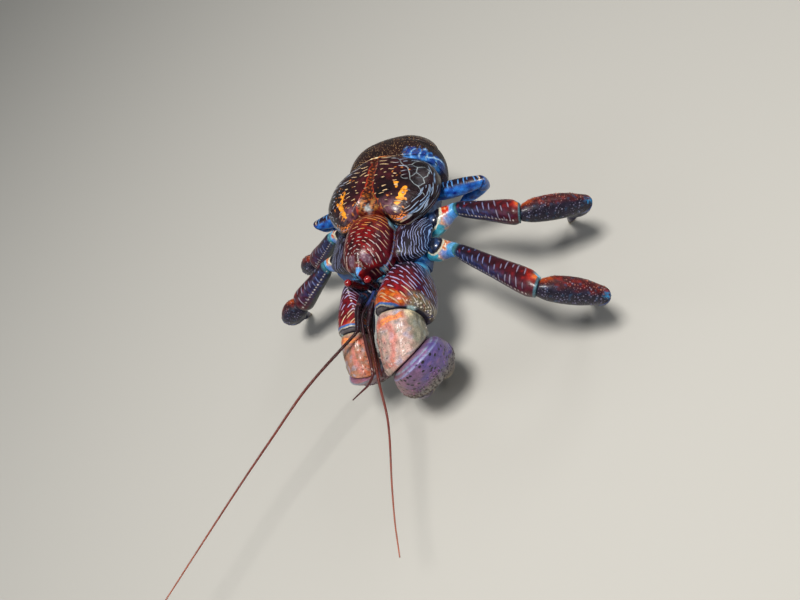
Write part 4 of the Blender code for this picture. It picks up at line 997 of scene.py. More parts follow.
def tube(start, end, sections, cut_start, cut_end, up, sides, rows, squareness, lip=(1.2, 1.2)):
    """A limb segment through its sections between two joint planes, with where each of its points lies.

    rows: how many rings are spaced through the sections, or None if they are close enough as given.
    lip: how far the shell curls in at each end, in mm. turn: 0 on the inner side, 90 on top, in degrees.
    """
    start, end = np.asarray(start, float), np.asarray(end, float)
    axis = unit(end - start)
    across = unit(np.cross(axis, up))
    dorsal = np.cross(across, axis)
    length = np.linalg.norm(end - start)
    if rows:
        lips = np.array([0.3, 0.7, 1.3, 2.2]) / length
        places = np.sort(np.concatenate([np.linspace(0, 1, rows), lips, 1 - lips]))
        sections = smooth_table(sections, places)
    else:
        sections = np.asarray(sections, float)
    s, high, wide, lift, shift = (column[:, None] for column in sections.T)
    curl = 1 - 0.16 * np.clip(1 - s * length / max(lip[0], 1e-6), 0, 1)**2
    curl = curl - 0.16 * np.clip(1 - (1 - s) * length / max(lip[1], 1e-6), 0, 1)**2
    high, wide = (high - 0.1) * curl, (wide - 0.1) * curl
    turn = np.linspace(0, 2 * math.pi, sides, endpoint=False)[None]
    c, q = np.cos(turn), np.sin(turn)
    power = 2.0 / squareness
    offset = ((np.sign(c) * np.abs(c)**power * wide + shift)[..., None] * across
              + (np.sign(q) * np.abs(q)**power * high + lift)[..., None] * dorsal)
    near = -(offset @ cut_start) / (axis @ cut_start)
    far = -(offset @ cut_end) / (axis @ cut_end)
    lean = near * (1 - s) + far * s
    rings = start + axis * (length * s)[..., None] + offset + lean[..., None] * axis
    s = np.broadcast_to(s, rings.shape[:2])
    turn = np.broadcast_to(np.degrees(turn), s.shape)
    outward = (c[..., None] * across + q[..., None] * dorsal) * np.ones(s.shape + (1,))
    return SimpleNamespace(rings=rings, s=s, s_mm=s * length, turn=turn, axis=axis, outward=outward)


def chain(root, root_normal, parts, foot_normal=None, end_normal=None):
    """Segments end to end, and the joints between them.

    Each part is (length, azimuth, pitch, sections, sides, rows, squareness, lip). A pitch of None brings the
    end down to the floor. The normals are those of the first and last planes.
    """
    joints = [np.asarray(root, float)]
    for length, azimuth, pitch, *_ in parts:
        if pitch is None:
            pitch = -math.degrees(math.asin(joints[-1][2] / length))
        joints.append(joints[-1] + length * direction(azimuth, pitch))
    axes = [unit(b - a) for a, b in zip(joints[:-1], joints[1:])]
    normals = [np.asarray(root_normal, float)]
    normals += [unit(a + b) for a, b in zip(axes[:-1], axes[1:])]
    last_normal = foot_normal if foot_normal is not None else end_normal
    normals.append(np.asarray(last_normal, float) if last_normal is not None else axes[-1])
    tubes = []
    for k, (*_, sections, sides, rows, squareness, lip) in enumerate(parts):
        open_end = k == len(parts) - 1 and end_normal is None
        start = joints[k] + axes[k] * (GAP / 2 / abs(axes[k] @ normals[k]) if k else 0.0)
        end = joints[k + 1] - axes[k] * (0.0 if open_end else GAP / 2 / abs(axes[k] @ normals[k + 1]))
        hint = UPRIGHT if abs(axes[k] @ UPRIGHT) < 0.95 else unit([0.0, 1.0, 0.2])
        planes = normals[k], normals[k + 1]
        tubes.append(tube(start, end, sections, *planes, hint, sides, rows, squareness, lip))
    if foot_normal is not None:
        tubes[-1].rings[-1][:, 2] = 0.0
    return tubes, joints


def wrapped(turn, middle):
    """Degrees from a place round the limb, between -180 and 180."""
    return (turn - middle + 180.0) % 360.0 - 180.0


def apart(turn, middle):
    """The same without its sign."""
    return np.abs(wrapped(turn, middle))


def facing(part, left):
    """Degrees round a limb, counted the other way on the crab's right so that both sides look alike."""
    return part.turn if left else (180 - part.turn) % 360


def band(x, low, high, fall, end):
    """Rising from 0 at low to 1 at high, and falling again from fall to end."""
    return step(low, high, x) * step(end, fall, x)


# degrees in a radian, which turns degrees round a limb into millimetres at a radius
RADIAN = 57.3
GRANULES = growth_tree("granule")
# granules, knots of lime with little pigment: dull, and paler than the skin under them
GRANULE_SHELL = crop_cuticle("pale_granule_cuticle", 0.42, 0.8)
# tubercles, worn by digging: the skin's own colour, dull on top
TUBERCLE_SHELL = crop_cuticle("worn_tubercle_cuticle", 0.45, 0.15)
# cuticle sheltered under the head, never scuffed: a clean blue with a clear gloss
CLAW_BASE_SHELL = cuticle("blue_claw_base_cuticle", 0.34, 0.3, beads=(2.8, 0.6))
# thick red cuticle: half glossy, with a light along the upper side of each wrinkle
ARM_SHELL = cuticle("crimson_arm_cuticle", 0.36, 0.12, row_spacing=4.5, sway=0.3, mottle=0.35,
                    relief=0.45, scatter=0.26)
# thick pale cuticle with low grains: an even satin pink
WRIST_SHELL = cuticle("pink_wrist_cuticle", 0.4, 0.16, beads=(2.6, 0.6), mottle=0.22, relief=0.45)
# the thickest cuticle, dimpled by hair pits: satin mauve, each pit dark and sunk
PALM_SHELL = cuticle("mauve_palm_cuticle", 0.38, 0.16, pits=(5.2, 1.7), mottle=0.3, relief=0.6)


def great_claw(side, root, parts, wrist_cut, hand, broad, k, girth, lean, hand_scale, drift):
    """One claw.

    parts: (length, azimuth, pitch) of base, arm and wrist. wrist_cut: the plane between wrist and palm.
    hand, broad: the palm's (length, azimuth, pitch) and the way its height lies.
    k: size beside the left one's. girth: how wide the arm is for its height. lean: how far the wrist bulges
    aside, in mm. hand_scale, drift: the palm's size, and how far it bulges aside, in mm at full size.
    """
    left = side == "left"
    wrist_cut = unit(wrist_cut)
    ischium = stations([(0, 12.5, 12), (0.5, 13.5, 12.5), (1, 13.5, 12)], k, k)
    merus = stations([(0, 14, 12.5), (0.13, 24, 17.5, 2.5), (0.4, 28.5, 23, 2), (0.75, 30, 25.5, 0.5),
                      (0.93, 28, 24.3, -1), (1, 23, 20.6, -2)], k, k * girth)
    carpus = stations([(0, 20, 18.5, 0, 0.5), (0.22, 22.5, 21.5, 0, 1), (0.7, 23.5, 22.5, 0, 1),
                       (0.92, 22, 21.5, 0, 0.8), (1, 19.5, 19, 0, 0.8)], k, k, shift=lean)
    (base, arm, wrist), joints = chain(
        root, (0, -1, 0), [(*parts[0], ischium, 90, 24, 2.2, (0, 1.5)),
                           (*parts[1], merus, 220, 130, 2.3, (1.5, 1.8)),
                           (*parts[2], carpus, 200, 110, 2.4, (1.5, 1.5))], end_normal=wrist_cut)

    tint = blend("2a4c88", "4c9cc4", clouds(base.rings, 8, 90))
    piece = skin(f"claw_{side}_base_shell", base.rings, CLAW_BASE_SHELL, tint, "c8c4b8", 0.5)
    settle(piece, "leg_base_shell", f"claw_{side}_base")

    # arm: turn counted from the inner side, over the top, to the outer side
    p, s = arm.rings, arm.s
    turn = facing(arm, left)
    crest = 68.0 if left else 113.0 - 80.0 * s
    from_crest = wrapped(turn, crest)
    lateral = band(turn, 118, 150, 215, 250)
    inner = step(22, 40, -from_crest) * step(150, 110, -from_crest)
    below = step(70, 40, apart(turn, 270))
    uneven = ripple(p, 13, 91)
    edge = 0.66 + 0.0040 * np.clip(turn - 74, 0, 90) if left else 0.76 + 0.0015 * turn
    rim = s - 0.90 - 0.0022 * np.clip(turn - 67, 0, 40) * left + 0.004 * ripple(p, 9, 93)
    wave = s + 0.02 * np.sin(np.radians(turn) * 5 + 1.0) + 0.014 * ripple(p, 7, 92)
    fire = step(edge - 0.02, edge + 0.035, wave) * step(0.008, -0.008, rim) * (1 - below)
    outer_end = step(0.72, 0.84, wave) * step(112, 138, turn + 6 * uneven) * step(250, 215, turn)
    top = (1 - below) * (1 - lateral * 0.7)
    tint = paint(
        "0e0a1c", ("5c0818", step(0.22, 0.44, s + 0.05 * uneven)),
        ("800812", step(0.36, edge, s + 0.04 * uneven) * (1 - 0.6 * lateral)),
        ("30040c", patches(p, 8, 136, 0.2, 0.9) * step(0.3, 0.5, s) * 0.55),
        ("3c0a20", lateral * 0.7),
        ("241a4c", lateral * patches(p, 9, 122, 0.0, 0.8) * 0.7),
        ("24568c", lateral * step(0.34, 0.10, s + 0.1 * uneven) * 0.9),
        ("58bce0", step(0.10, 0.04, s) * step(50, 80, turn) * step(200, 160, turn)),
        ("34405c", below),
        ("b4460c", fire * (1 - lateral)),
        ("d07c2c", fire * patches(p, 6, 105, 0.1, 0.8) * (1 - lateral) * 0.7),
        ("8c3408", fire * patches(p, 5, 123, 0.2, 0.8) * (1 - lateral) * 0.6),
        ("7c7258", outer_end * 0.9),
        ("5c5c8c", outer_end * patches(p, 5, 106, 0.0, 0.7) * 0.7),
        ("a8683c", outer_end * patches(p, 6, 105, 0.2, 0.8) * 0.6),
        ("101c34", inner * 0.9),
        ("2c6088", inner * patches(p, 3.5, 107, 0.3, 0.8)),
        ("34609c", band(rim, -0.006, 0.004, 0.026, 0.036) * top),
        ("a8a494", step(0.024, 0.032, rim) * top * 0.9),
        ("201c2c", step(0.012, 0.006, np.abs(rim - 0.055))),
        # past the pale strip at the arm's end: painted shadow under the joint
        ("4c4850", step(0.058, 0.066, rim) * top * 0.9),
        ("201c2c", step(0.985, 0.995, s)),
        # a white-cyan painted highlight on the outer side of the arm's far end
        ("a8c4c8", step(0.975, 0.99, s) * step(124, 132, turn) * step(160, 146, turn)))
    slant = arm.s_mm - k * (0.33 if left else 0.36) * (np.sqrt(from_crest**2 + 60) - 7)
    rows = (from_crest / 360 * (13 if left else 8) + 30.2, slant / 4.5 + 60, 0.145, 0.85)
    mark = paint(
        "b8a4cc", ("8c98cc", lateral),
        ("dcb890", step(0.62, 0.76, s) * (1 - lateral)),
        ("c8c0b4", outer_end),
        ("e0ccbc", step(60, 48, turn) * step(0.3, 0.5, s) * 0.7))
    strength = 0.95 * step(0.0, -0.03, rim) * (1 - 0.7 * below) * (1 - 0.45 * fire) * (1 - 0.8 * inner)
    if not left:
        bead = np.hypot((arm.s_mm % 3.0) - 1.5, from_crest / RADIAN * 20 * k) - 0.8
        tint = blend(tint, "d8ccc8", step(0.25, -0.25, bead) * step(0.9, 0.84, s))
    piece = skin(f"claw_{side}_arm_shell", p, ARM_SHELL, tint, mark, strength, rows,
                 grain=band(s, 0.90, 0.93, 0.98, 0.99) * step(120, 135, turn) * step(240, 215, turn))
    settle(piece, "claw_arm_shell", f"claw_{side}_merus")
    grow(piece, "claw_arm_shell", f"claw_{side}_arm_knobs", GRANULES, GRANULE_SHELL, 2.4 * k, 1.1 * k,
         0.9 * k, 11)

    # wrist: a salmon swirl over pinkish grey on top, granular toward the inner side, green-grey outside
    swell = ripple(wrist.rings, 10, 115) + 0.7 * ripple(wrist.rings, 5, 116) - 1.2
    swell = 0.35 * swell * step(0.0, 0.12, wrist.s) * step(1.0, 0.88, wrist.s)
    wrist.rings += swell[..., None] * wrist.outward
    p, s = wrist.rings, wrist.s
    turn = facing(wrist, left)
    below = step(80, 45, apart(turn, 270))
    swirl = np.hypot(s * 1.6 - 0.80, wrapped(turn, 66) / 46)
    curve = step(0.22, 0.03, np.abs(swirl - 0.52 + 0.10 * ripple(p, 10, 95)))
    stripe = np.abs(s - 0.20 - 0.04 * np.sin(np.radians(turn) * 2.4) + 0.02 * ripple(p, 8, 97))
    socket = np.hypot((s - 0.05) * 35, wrapped(turn, 140) / RADIAN * 21) + 1.2 * ripple(p, 5, 121)
    speckle = step(70, 30, apart(turn, 24)) * step(0.12, 0.4, s)
    tint = paint(
        "a88478" if left else "94644c", ("c4a498" if left else "a47058", clouds(p, 7, 94)),
        ("908c9c", patches(p, 8, 108, 0.1, 0.8) * 0.6),
        ("747c6c", step(0.16, 0.04, np.abs(ripple(p, 7, 117))) * 0.6),
        ("c47468", curve * (1 - below) * 0.85),
        ("c08478", step(0.3, 0.1, swirl) * 0.7),
        ("a49cb0", patches(p, 7, 137, 0.3, 1.0) * step(80, 100, turn) * (1 - below) * 0.7),
        ("d07848", patches(p, 6, 125, 0.6, 1.2) * step(0.5, 0.7, s) * (1 - below) * 0.35),
        ("d46a50", step(0.075, 0.03, stripe) * step(40, 62, turn) * step(135, 112, turn) * 0.9),
        ("d88c3c", step(0.03, 0.01, np.abs(stripe - 0.03)) * step(60, 72, turn) * step(128, 112, turn)
         * 0.7),
        ("78806c", step(122, 146, turn + 5 * ripple(p, 8, 109)) * step(250, 215, turn) * 0.75),
        ("a89c80", step(0.08, 0.02, s) * 0.8),
        ("dcc8a4", step(7, 3, socket) * 0.8),
        ("4c5468", below * 0.85),
        ("948478" if left else "a8542c", speckle * patches(p, 5, 98, -0.5, 0.5) * 0.8),
        ("6c6858", speckle * step(0.2, 0.05, np.abs(ripple(p, 4.5, 99))) * 0.6),
        ("24202c", step(0.972, 0.985, s)))
    mark = blend("d4c4bc", "34262c", step(-0.4, 0.3, speckle - 0.5 + 0.7 * ripple(p, 6, 99)))
    grain = np.clip(0.10 + 0.90 * speckle, 0, 1) * step(0.02, 0.06, s) * step(0.96, 0.92, s) * (1 - below)
    piece = skin(f"claw_{side}_wrist_shell", p, WRIST_SHELL, tint, mark, 0.12 + 0.6 * speckle, grain=grain)
    settle(piece, "claw_wrist_shell", f"claw_{side}_carpus")
    grow(piece, "claw_wrist_shell", f"claw_{side}_wrist_granules", GRANULES, GRANULE_SHELL, 2.8, 0.8, 0.7, 12)

    # palm and fixed finger in one, with the moving finger hinged beside it
    length, azimuth, pitch = hand
    start_joint = joints[-1]
    pitch = -math.degrees(math.asin(start_joint[2] / length)) if pitch is None else pitch
    axis = direction(azimuth, pitch)
    broad = unit(np.asarray(broad, float) - axis * (np.asarray(broad, float) @ axis))
    scale, bulge, split = hand_scale, drift * hand_scale, 0.56
    body = stations([(0, 20, 18), (0.1, 27, 22.5, 0, 0.4), (0.32, 30.5, 24.5, 0, 0.9), (0.48, 29, 23.5, 0, 1),
                     (split, 25, 20, 0, 0.9)], scale, scale, shift=bulge)
    fixed = stations([(split + 0.012, 13.5, 14.5, 11, 0.9), (0.66, 12, 12.5, 13.5, 0.7),
                      (0.82, 8, 9, 13, 0.4), (0.94, 4.4, 4.8, 9.5, 0.1)], scale, scale, scale, bulge)
    fixed += stations([(1.0, 1.6, 1.6, 6)], lift=scale)
    sections = np.vstack([smooth_table(body, np.linspace(0, split, 90)),
                          smooth_table(fixed, np.linspace(split + 0.012, 1.0, 60))])
    start = start_joint + axis * (GAP / 2 / (axis @ wrist_cut))
    end = start_joint + axis * length
    palm = tube(start, end, sections, wrist_cut, UPRIGHT, broad, 200, None, 2.3, (1.5, 0.0))
    palm.rings[-1][:, 2] = 0.0
    ridges = np.exp(-((palm.s_mm - 3.2) / 1.3)**2) + 0.8 * np.exp(-((palm.s_mm - 9.0 * scale) / 1.5)**2)
    palm.rings += (0.7 * ridges * step(2.0, 3.0, palm.s_mm + 1.4))[..., None] * palm.outward
    p, s = palm.rings, palm.s
    out = (p[..., 0] - start_joint[0]) * (1 if left else -1)
    tint = paint(
        "6c507c", ("8c6074", clouds(p, 16, 100)),
        ("544a9c", step(14, 36, out + 7 * ripple(p, 15, 101)) * 0.8),
        ("8c5a58", step(12, -10, out + 5 * ripple(p, 9, 102)) * 0.75),
        ("9c6c94", patches(p, 7, 110, 0.2, 0.9) * 0.4),
        ("74705c", step(0.32, 0.46, s + 0.04 * ripple(p, 11, 103)) * 0.75),
        ("3c3038", step(0.3, 0.44, s) * patches(p, 5, 124, 0.2, 0.9) * 0.6),
        ("8cacbc", np.clip(ridges, 0, 1) * 0.7 * patches(p, 12, 111, -1.2, 0.4)),
        ("8c7cc4", step(1.6, 0.6, np.abs(palm.s_mm - 9.8 * scale)) * 0.5),
        ("d0c4ac", step(0.66, 0.9, s) * 0.7),
        ("3a2c34", step(0.94, 1.0, s) * 0.6))
    dots = step(7.5, 10, palm.s_mm) * step(0.60, 0.5, s)
    piece = skin(f"claw_{side}_palm_shell", p, PALM_SHELL, tint, "0c0610", dots * 0.98, sharp=50,
                 grain=step(0.26, 0.36, s + 0.02 * ripple(p, 8, 112)) * step(0.54, 0.52, s))
    settle(piece, "claw_palm_shell", f"claw_{side}_palm")
    grow(piece, "claw_palm_shell", f"claw_{side}_palm_tubercles", GRANULES, TUBERCLE_SHELL, 2.6, 1.0, 0.8, 13)

    hinge_at = split + 0.02
    slope = (1 - hinge_at) * wrist_cut / (axis @ wrist_cut) + hinge_at * UPRIGHT / (axis @ UPRIGHT)
    slope = slope - axis * (slope @ axis)
    aside = unit(np.cross(axis, broad)) * (0.9 * bulge) - broad * (13.6 * scale)
    hinge = start_joint + axis * (length * hinge_at - aside @ slope) + aside
    tip = start_joint + axis * (length * 0.965) - broad * (3.0 * scale)
    sections = stations([(0, 9.8, 12), (0.2, 10.2, 12, -2.6), (0.55, 7.6, 8.8, -4.8), (0.85, 4.4, 4.6, -3.6)],
                        scale, scale, scale) + stations([(1, 1.3, 1.3, -1.2)], lift=scale)
    finger = tube(hinge, tip, sections, unit(axis + slope), unit(tip - hinge), broad, 120, 70, 2.0)
    s = finger.s
    tint = paint(
        "5c5078", ("6c5c5c", clouds(finger.rings, 12, 104)),
        ("d8ccb8", step(0.35, 0.8, s) * 0.8),
        ("3a2c34", step(0.88, 1.0, s) * 0.6))
    strength = 0.9 * step(0.7, 0.4, s)
    piece = skin(f"claw_{side}_finger_shell", finger.rings, PALM_SHELL, tint, "140a1c", strength)
    settle(piece, "claw_palm_shell", f"claw_{side}_finger")


great_claw("left", (34.5, THORAX_FRONT - GAP, COXA_Z - 9), ((8, -84, 8), (52.2, -90.4, 12), (34.5, -80, -24)),
           wrist_cut=(0.52, -0.50, -0.69), hand=(106, 140, None), broad=(1, 1, 0), k=1.0, girth=1.0, lean=4.5,
           hand_scale=1.0, drift=8.5)
great_claw("right", (-27, THORAX_FRONT - GAP, COXA_Z - 9), ((8, -92, 4), (61, -81.5, 4), (32, -78, -27)),
           wrist_cut=(-0.10, -0.52, -0.85), hand=(106, 118, None), broad=(1, 0.4, 0), k=0.69, girth=0.86,
           lean=0.0, hand_scale=0.64, drift=-6.0)

# Walking legs. Two pairs of long legs of hard cuticle, each a short bright base with a glossy navy knob at
# its socket, a long plum-red arm under one row of pale bars, a granular wrist and hand, and a horny toe.
# Each segment is one shell, with a narrow gap at the hinge.

LEG_ROOT_X = THORAX_HALF_WIDTH + GAP
KNOB_RADIUS = 9.4
# smooth cuticle, sheltered at the leg roots: clean bright colours under a clear gloss
LEG_BASE_SHELL = cuticle("bright_leg_base_cuticle", 0.36, 0.25, mottle=0.3)
# hard plum-red cuticle under low bars: mottled satin, with a dull light on each bar
LEG_ARM_SHELL = cuticle("plum_red_leg_cuticle", 0.38, 0.18, row_spacing=6.2, sway=0.2, mottle=0.45,
                        scatter=0.12)
# rough cuticle crowded with grains: dull, with a glitter of small points
LEG_HAND_SHELL = cuticle("granular_leg_cuticle", 0.42, 0.12, beads=(2.1, 0.5), mottle=0.45, relief=0.7)
# a bare knob rubbed by its socket: navy, and the glossiest cuticle on the crab
KNOB_SHELL = cuticle("navy_socket_knob_cuticle", 0.24, 0.5, mottle=0.25, relief=0.1)


def walking_leg(name, root, parts, h, knob_at, cap):
    """One leg; h is its stoutness, knob_at where the knob sits along the base, cap the colour over it."""
    left = root[0] > 0
    base = stations([(0, 10.6, 10.8)]) + stations([(0.35, 11.2, 11.0), (0.7, 8.5, 8.0), (1, 6.6, 6.0)], h, h)
    merus = stations([(0, 6.4, 5.8), (0.12, 8.4, 7.2), (0.5, 10.0, 9.2), (0.88, 12.0, 11.2),
                      (1, 9.4, 8.4, -1)], h, h)
    carpus = stations([(0, 8.0, 7.4), (0.2, 11.4, 10.4, 1.0), (0.6, 12.0, 11.2, 1.2), (1, 8.4, 7.8)], h, h)
    propodus = stations([(0, 7.8, 7.2), (0.25, 9.4, 8.2), (0.7, 7.6, 6.6), (1, 5.4, 4.8)], h, h)
    dactyl = stations([(0, 5.0, 4.5), (0.3, 5.4, 4.6), (0.75, 3.2, 2.8)], h, h) + stations([(1, 1.5, 1.5)])
    sizes = [(base, 110, 60), (merus, 110, 140), (carpus, 100, 80), (propodus, 90, 90), (dactyl, 70, 70)]
    parts = [(*part, *size, 2.2, (0.0 if size[0] is base else 1.0, 1.0)) for part, size in zip(parts, sizes)]
    tubes, _ = chain(root, (1 if left else -1, 0, 0), parts, foot_normal=UPRIGHT)
    base, merus, carpus, propodus, dactyl = tubes

    # base: turquoise round the knob in a pale ring, then peach and cream, then pale blue at the neck
    p, s, turn = base.rings, base.s, facing(base, left)
    around = apart(turn, 88) / RADIAN * 10.5
    from_knob = np.hypot(base.s_mm - knob_at, around) + 0.5 * ripple(p, 5, 115)
    away = np.hypot((s - 0.68) / 0.27, wrapped(turn, 105) / 52) + 0.35 * ripple(p, 5, 112)
    outlying = step(45, 75, apart(turn, 110) + 14 * ripple(p, 6, 134))
    tint = paint(
        "1c7c98", ("48b0c8", clouds(p, 7, 110)),
        ("c89070", step(0.45, 0.58, s + 0.08 * ripple(p, 6, 111))),
        (cap, step(1.1, 0.7, away)),
        ("e07c28", step(0.7, 0.3, away) * patches(p, 4, 133, -0.2, 0.6) * 0.6),
        ("e4d8c4", step(0.45, 0.52, s) * patches(p, 3.5, 113, 0.3, 0.8)),
        ("5ca4d4", step(0.80, 0.90, s + 0.05 * ripple(p, 5, 114))),
        ("3c80cc", outlying * step(0.5, 0.7, s) * 0.8),
        ("c8c4ac", step(1.5, 0.7, np.abs(from_knob - 10.8))),
        ("100c18", step(9.9, 9.3, from_knob)))
    piece = skin(f"{name}_base_shell", p, LEG_BASE_SHELL, tint)
    settle(piece, "leg_base_shell", f"{name}_base")
    centre = base.axis * knob_at + np.asarray(root, float) + [0, 0, 4.0]
    dome = centre + round_rings(3, 100, 40, 64) * KNOB_RADIUS
    tint = blend("0c1224", "2c4470", patches(dome, 9, 116, -0.4, 1.0))
    piece = skin(f"{name}_socket_knob", dome, KNOB_SHELL, tint)
    settle(piece, "leg_base_shell")

    # arm: short bars over the top, blue-violet below, a dotted line low on the front, a flame at the far end
    p, s, turn = merus.rings, merus.s, facing(merus, left)
    violet = step(64, 30, apart(turn, 20)) * step(1.0, 0.4, s + 0.1 * ripple(p, 7, 125))
    flame = step(0.80, 0.92, s + 0.06 * ripple(p, 6, 118)) * step(0.975, 0.965, s)
    over = np.abs(wrapped(turn, 122) + 8 * ripple(p, 5, 127))
    way = (merus.s_mm + 0.8 * ripple(p, 9, 119)) % 3.6
    beads = np.hypot(way - 1.8, wrapped(turn, 12) / RADIAN * 10) - 0.85
    tint = paint(
        "180a1c", ("480a14", step(0.1, 0.9, s + 0.08 * ripple(p, 14, 117))),
        ("640c14", patches(p, 6, 124, 0.3, 0.9) * step(50, 15, apart(turn, 95)) * 0.8),
        ("26305c", violet * (0.6 + 0.4 * ripple(p, 4, 126))),
        ("3c7884", step(0.08, 0.02, s)),
        ("20284c", step(60, 30, apart(turn, 225)) * 0.8),
        ("1c1c30" if left else "343a38", step(60, 35, apart(turn, 300)) * 0.85),
        ("981c0c", flame * step(50, 20, apart(turn, 118))),
        ("c8601c", flame * step(0.90, 0.95, s) * step(34, 12, over)),
        ("40606c", step(0.965, 0.98, s)),
        ("70b4cc", step(0.90, 0.95, s) * step(20, 8, apart(turn, 142))),
        ("c8bcb8", step(0.3, -0.3, beads) * step(0.95, 0.9, s)))
    slant = merus.s_mm + 2.2 * np.sin(np.radians(turn - 60))
    rows = (wrapped(turn, 66) / 360 * 52 / 9.5 + 30.5, slant / 6.2 + 20, 0.11, 0.54)
    mark = blend("6474a8", "8c8094", step(0.2, 0.8, s))
    strength = step(70, 56, apart(turn, 74)) * step(0.05, 0.10, s) * step(0.90, 0.84, s)
    strength = strength + 0.6 * step(50, 40, apart(turn, 205))
    piece = skin(f"{name}_arm_shell", p, LEG_ARM_SHELL, tint, mark, strength * 0.85, rows)
    settle(piece, "leg_shell", f"{name}_merus")

    # wrist, hand and toe: dark red above, violet-grey and granular below, blue-violet toward the toe
    p, s, turn = carpus.rings, carpus.s, facing(carpus, left)
    low = step(20, 60, apart(turn, 105) - 10 * ripple(p, 8, 120))
    flame = step(0.26, 0.08, s + 0.06 * ripple(p, 5, 121)) * step(40, 15, apart(turn, 115))
    # splash: a blue-cyan painted highlight near the far end of the wrist
    splash = np.hypot((s - 0.93) * 54, wrapped(turn, 60) / RADIAN * 10) + 0.9 * ripple(p, 3.6, 129)
    tint = paint(
        "420a10", ("1c1628", low),
        ("741610", (1 - low) * patches(p, 6, 128, 0.0, 0.8) * 0.85),
        ("24405c", patches(p, 5, 118, 0.5, 1.0) * 0.6),
        ("a8440f", flame * 0.85),
        # the painted blue-cyan highlight
        ("2c80b4", step(6.0, 1.0, splash) * patches(p, 2.4, 135, -0.8, 0.3) * 0.85))
    mark = paint("b0705c", ("74708c", low), ("a8a4bc", patches(p, 6, 119, 0.3, 1.0)))
    crowd = patches(p, 9, 132, -0.6, 0.7)
    grain = crowd * step(0.04, 0.10, s) * step(0.97, 0.92, s) * step(90, 60, apart(turn, 60))
    piece = skin(f"{name}_wrist_shell", p, LEG_HAND_SHELL, tint, mark, 0.85, grain=grain)
    settle(piece, "leg_shell", f"{name}_carpus")
    grow(piece, "leg_shell", f"{name}_wrist_granules", GRANULES, GRANULE_SHELL, 1.9, 0.72, 0.65, 14)
    p, s, turn = propodus.rings, propodus.s, facing(propodus, left)
    low = step(20, 60, apart(turn, 120) - 10 * ripple(p, 8, 122))
    tint = paint(
        "340a14", ("1a1838", np.clip(low + step(0.3, 0.9, s), 0, 1)),
        ("2c50a0", step(0.12, 0.04, s) * low))
    grain = band(s, 0.04, 0.10, 0.92, 0.97) * step(110, 70, apart(turn, 60))
    mark = blend("a46c5c", "687098", low)
    piece = skin(f"{name}_hand_shell", p, LEG_HAND_SHELL, tint, mark, 0.75, grain=grain)
    settle(piece, "leg_tip_shell", f"{name}_propodus")
    grow(piece, "leg_tip_shell", f"{name}_hand_granules", GRANULES, GRANULE_SHELL, 1.9, 0.62, 0.6, 15)
    p, s = dactyl.rings, dactyl.s
    tint = paint(
        "201c48", ("382a48", step(0.1, 0.5, s + 0.1 * ripple(p, 6, 123))),
        ("1c1416", step(0.62, 0.8, s)),
        ("c8b070", step(0.86, 0.97, s) * 0.8))
    brush = step(60, 30, apart(facing(dactyl, left), 270)) * step(0.05, 0.15, s) * step(0.85, 0.75, s)
    piece = skin(f"{name}_toe_shell", p, LEG_HAND_SHELL, tint, blend("8c80a8", "a88858", brush),
                 0.6 * step(0.8, 0.5, s) * (1 - brush), grain=brush)
    settle(piece, "leg_tip_shell", f"{name}_dactyl")
    grow(piece, "leg_tip_shell", f"{name}_toe_bristles", BRISTLES, BRISTLE_HORN, 1.3, 0.12, 1.8, 17)


walking_leg("leg2_left", (LEG_ROOT_X, -40, COXA_Z - 7),
            ((34, -20, 12), (98, -33.7, -0.5), (54, 6, -38), (56, 125, -52), (41, 122, None)),
            h=1.0, knob_at=12.0, cap="c87040")
walking_leg("leg3_left", (LEG_ROOT_X, -13, COXA_Z - 7),
            ((28, 22, 12), (70, -17, 0), (59, 23, -30), (58, 132, -50), (44, 130, None)),
            h=0.98, knob_at=4.0, cap="b82410")
walking_leg("leg2_right", (-LEG_ROOT_X, -34, COXA_Z - 7),
            ((22, 192, 8), (60, 203.5, -28), (29, 190, -32), (46, 120, -50), (37, 125, None)),
            h=1.0, knob_at=4.0, cap="c87040")
walking_leg("leg3_right", (-LEG_ROOT_X, -6, COXA_Z - 7),
            ((22, 172, 8), (54, 181.5, -38), (31, 164, -32), (40, 125, -46), (35, 120, None)),
            h=0.95, knob_at=4.0, cap="b82410")

# Fourth legs. Small cleaning legs folded beside the carapace, each ending in a little pincer: soft vivid blue
# cuticle with dark slanting bars on the upper side.

